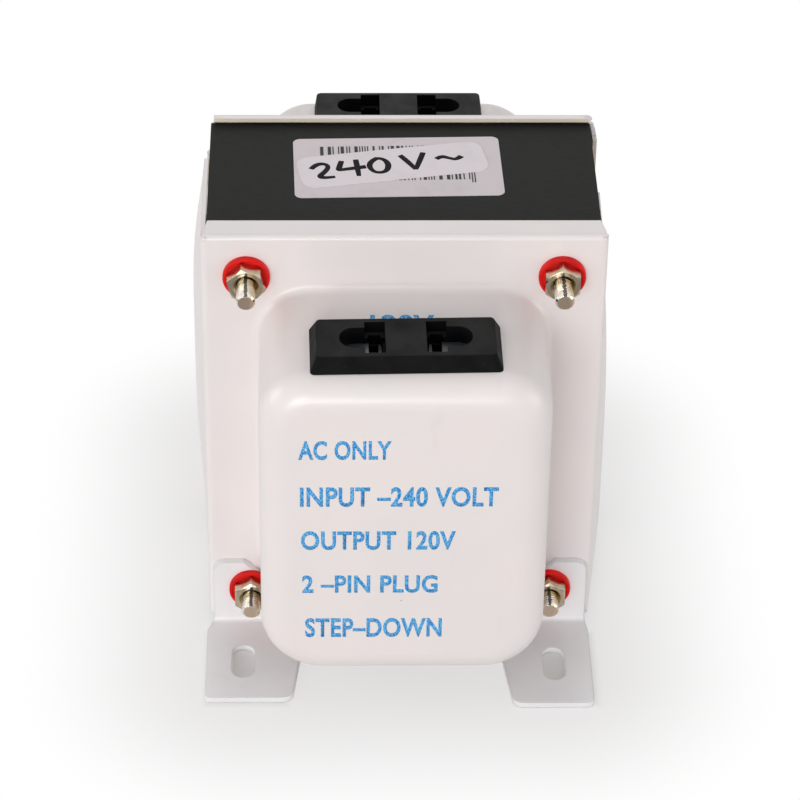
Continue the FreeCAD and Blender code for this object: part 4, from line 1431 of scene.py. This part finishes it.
@dataclass
class Studio:
    """The camera, the pale floor, the white surroundings and the lamps."""

    aim: Point = (0.00014, 0.0, 0.04224)
    distance: float = 0.728
    elevation: float = 36.07
    yaw: float = -1.58
    roll: float = 0.84
    lens: float = 151.16
    ambient: float = 0.51
    floor_size: float = 6.0
    floor_colour: Colour = srgb(214, 210, 208)
    floor_second: Colour = srgb(206, 203, 201)
    # How much of the floor is plain white under the feet, close to the part, and in reflections
    under_feet: float = 0.15
    close_by: float = 0.6
    reflected: float = 0.6
    # Where the shadow lies: darkest under the feet, and fading with the distance from the part
    foot: Pair = (33 * MM, 40 * MM)
    foot_half: Pair = (7 * MM, 10 * MM)
    part_half: Pair = (30 * MM, 40 * MM)
    fading: Pair = (8 * MM, 55 * MM)
    # How far the floor's reflection dims in front of the part, and where that is along Y
    dimmed: float = 0.25
    dimming: Pair = (-90 * MM, -40 * MM)
    lamps: tuple[Lamp, ...] = (
        Lamp("key", -14.0, 8.0, 1.8, 1.0, 0.5),
        Lamp("left_fill", -85.0, 18.0, 1.5, 0.8, 0.2),
        Lamp("right_fill", 70.0, 12.0, 1.5, 0.8, 0.16),
        Lamp("back_fill", 180.0, 35.0, 1.5, 0.8, 0.1),
    )

    def camera(self) -> None:
        """Set the camera at the photograph's angle."""
        lean = math.radians(self.roll)
        back = direction(self.yaw, self.elevation)
        right = direction(self.yaw + 90, 0)
        up = back.cross(right)
        leaned_right = right * math.cos(lean) + up * math.sin(lean)
        leaned_up = up * math.cos(lean) - right * math.sin(lean)
        put_down()
        bpy.ops.object.camera_add()
        camera = bpy.context.object
        camera.name = "camera"
        turn_matrix = Matrix((leaned_right, leaned_up, back)).transposed().to_4x4()
        camera.matrix_world = Matrix.Translation(Vector(self.aim) + back * self.distance) @ turn_matrix
        camera.data.lens = self.lens
        camera.data.sensor_width = 36.0
        camera.data.clip_start = 0.01
        bpy.context.scene.camera = camera

    def light(self) -> None:
        """Hang the lamps."""
        for lamp in self.lamps:
            way = direction(lamp.azimuth, lamp.elevation)
            put_down()
            bpy.ops.object.light_add(type="AREA", location=Vector(self.aim) + way * lamp.distance)
            light = bpy.context.object
            light.name = f"lamp_{lamp.name}"
            light.rotation_euler = way.to_track_quat("Z", "Y").to_euler()
            light.data.shape = "DISK"
            light.data.size = lamp.size
            # The power at which a white face at the part, turned to the lamp, gets the lamp's level
            light.data.energy = lamp.level * math.pi ** 2 * lamp.distance ** 2

    def surroundings(self) -> None:
        """Make the world white to the camera and in reflections, and an even glow to everything else."""
        world = bpy.data.worlds.new("surroundings")
        bpy.context.scene.world = world
        tree = Tree(world)
        seen = tree.rays("Camera").most(tree.rays("Transmission")).most(tree.rays("Glossy"))
        strength = self.ambient + (1.0 - self.ambient) * seen
        glow = tree.node("Background", {"Color": WHITE, "Strength": strength})
        tree.node("OutputWorld", {"Surface": glow.outputs[0]})

    def floor(self) -> None:
        """Lay the pale floor, which shows the part's shadow and fades into white."""
        floor = start("floor", bpy.ops.mesh.primitive_plane_add, size=self.floor_size)
        s = Shader("floor_white")
        tone = s.noise(0.2, 2.0)
        s.dress(base_color=s.blend(tone * 0.2, self.floor_colour, self.floor_second), roughness=0.8)
        beside_x = abs(abs(s.x) - self.foot[0]) - self.foot_half[0]
        beside_y = abs(abs(s.y) - self.foot[1]) - self.foot_half[1]
        beside_feet = s.ease(beside_x.most(beside_y), -1 * MM, 3 * MM)
        out_x = (abs(s.x) - self.part_half[0]).most(0.0)
        out_y = (abs(s.y) - self.part_half[1]).most(0.0)
        far = s.ease((out_x * out_x + out_y * out_y).root(), *self.fading)
        rise = self.close_by - self.under_feet
        light = self.under_feet + rise * beside_feet + (1.0 - self.close_by) * far
        seen = s.rays("Camera")
        share = (seen * light).most(s.rays("Glossy") * self.reflected)
        strength = seen.most(self.dimmed + (1.0 - self.dimmed) * s.ease(s.y, *self.dimming))
        white = s.node("Emission", {"Color": WHITE, "Strength": strength})
        mixed = s.node("MixShader", {0: share, 1: s.surface.outputs[0], 2: white.outputs[0]})
        s.feed(s.output, "Surface", mixed.outputs[0])
        floor.data.materials.append(s.material)

    def build(self) -> None:
        """Set up everything round the part."""
        self.camera()
        self.light()
        self.surroundings()
        self.floor()
        bpy.context.scene.view_settings.view_transform = "Standard"


def main() -> None:
    """Build the studio and the part's pieces in order."""
    logging.basicConfig(level=logging.INFO, format="%(name)s: %(message)s")
    Studio().build()
    cad = CadNodes()
    cad.build()
    Bolts().build(BoltPlating().make("finish_bolts"))
    CoreSheets().build(cad.materials["core_steel"])
    Printing().build(BLUE_INK.make("ink_blue"))
    LabelMarks().build(BLACK_INK.make("ink_black"), MARKER_INK.make("ink_marker"))
    put_down()
    log.info("boxes written")


if __name__ == "__main__":
    main()
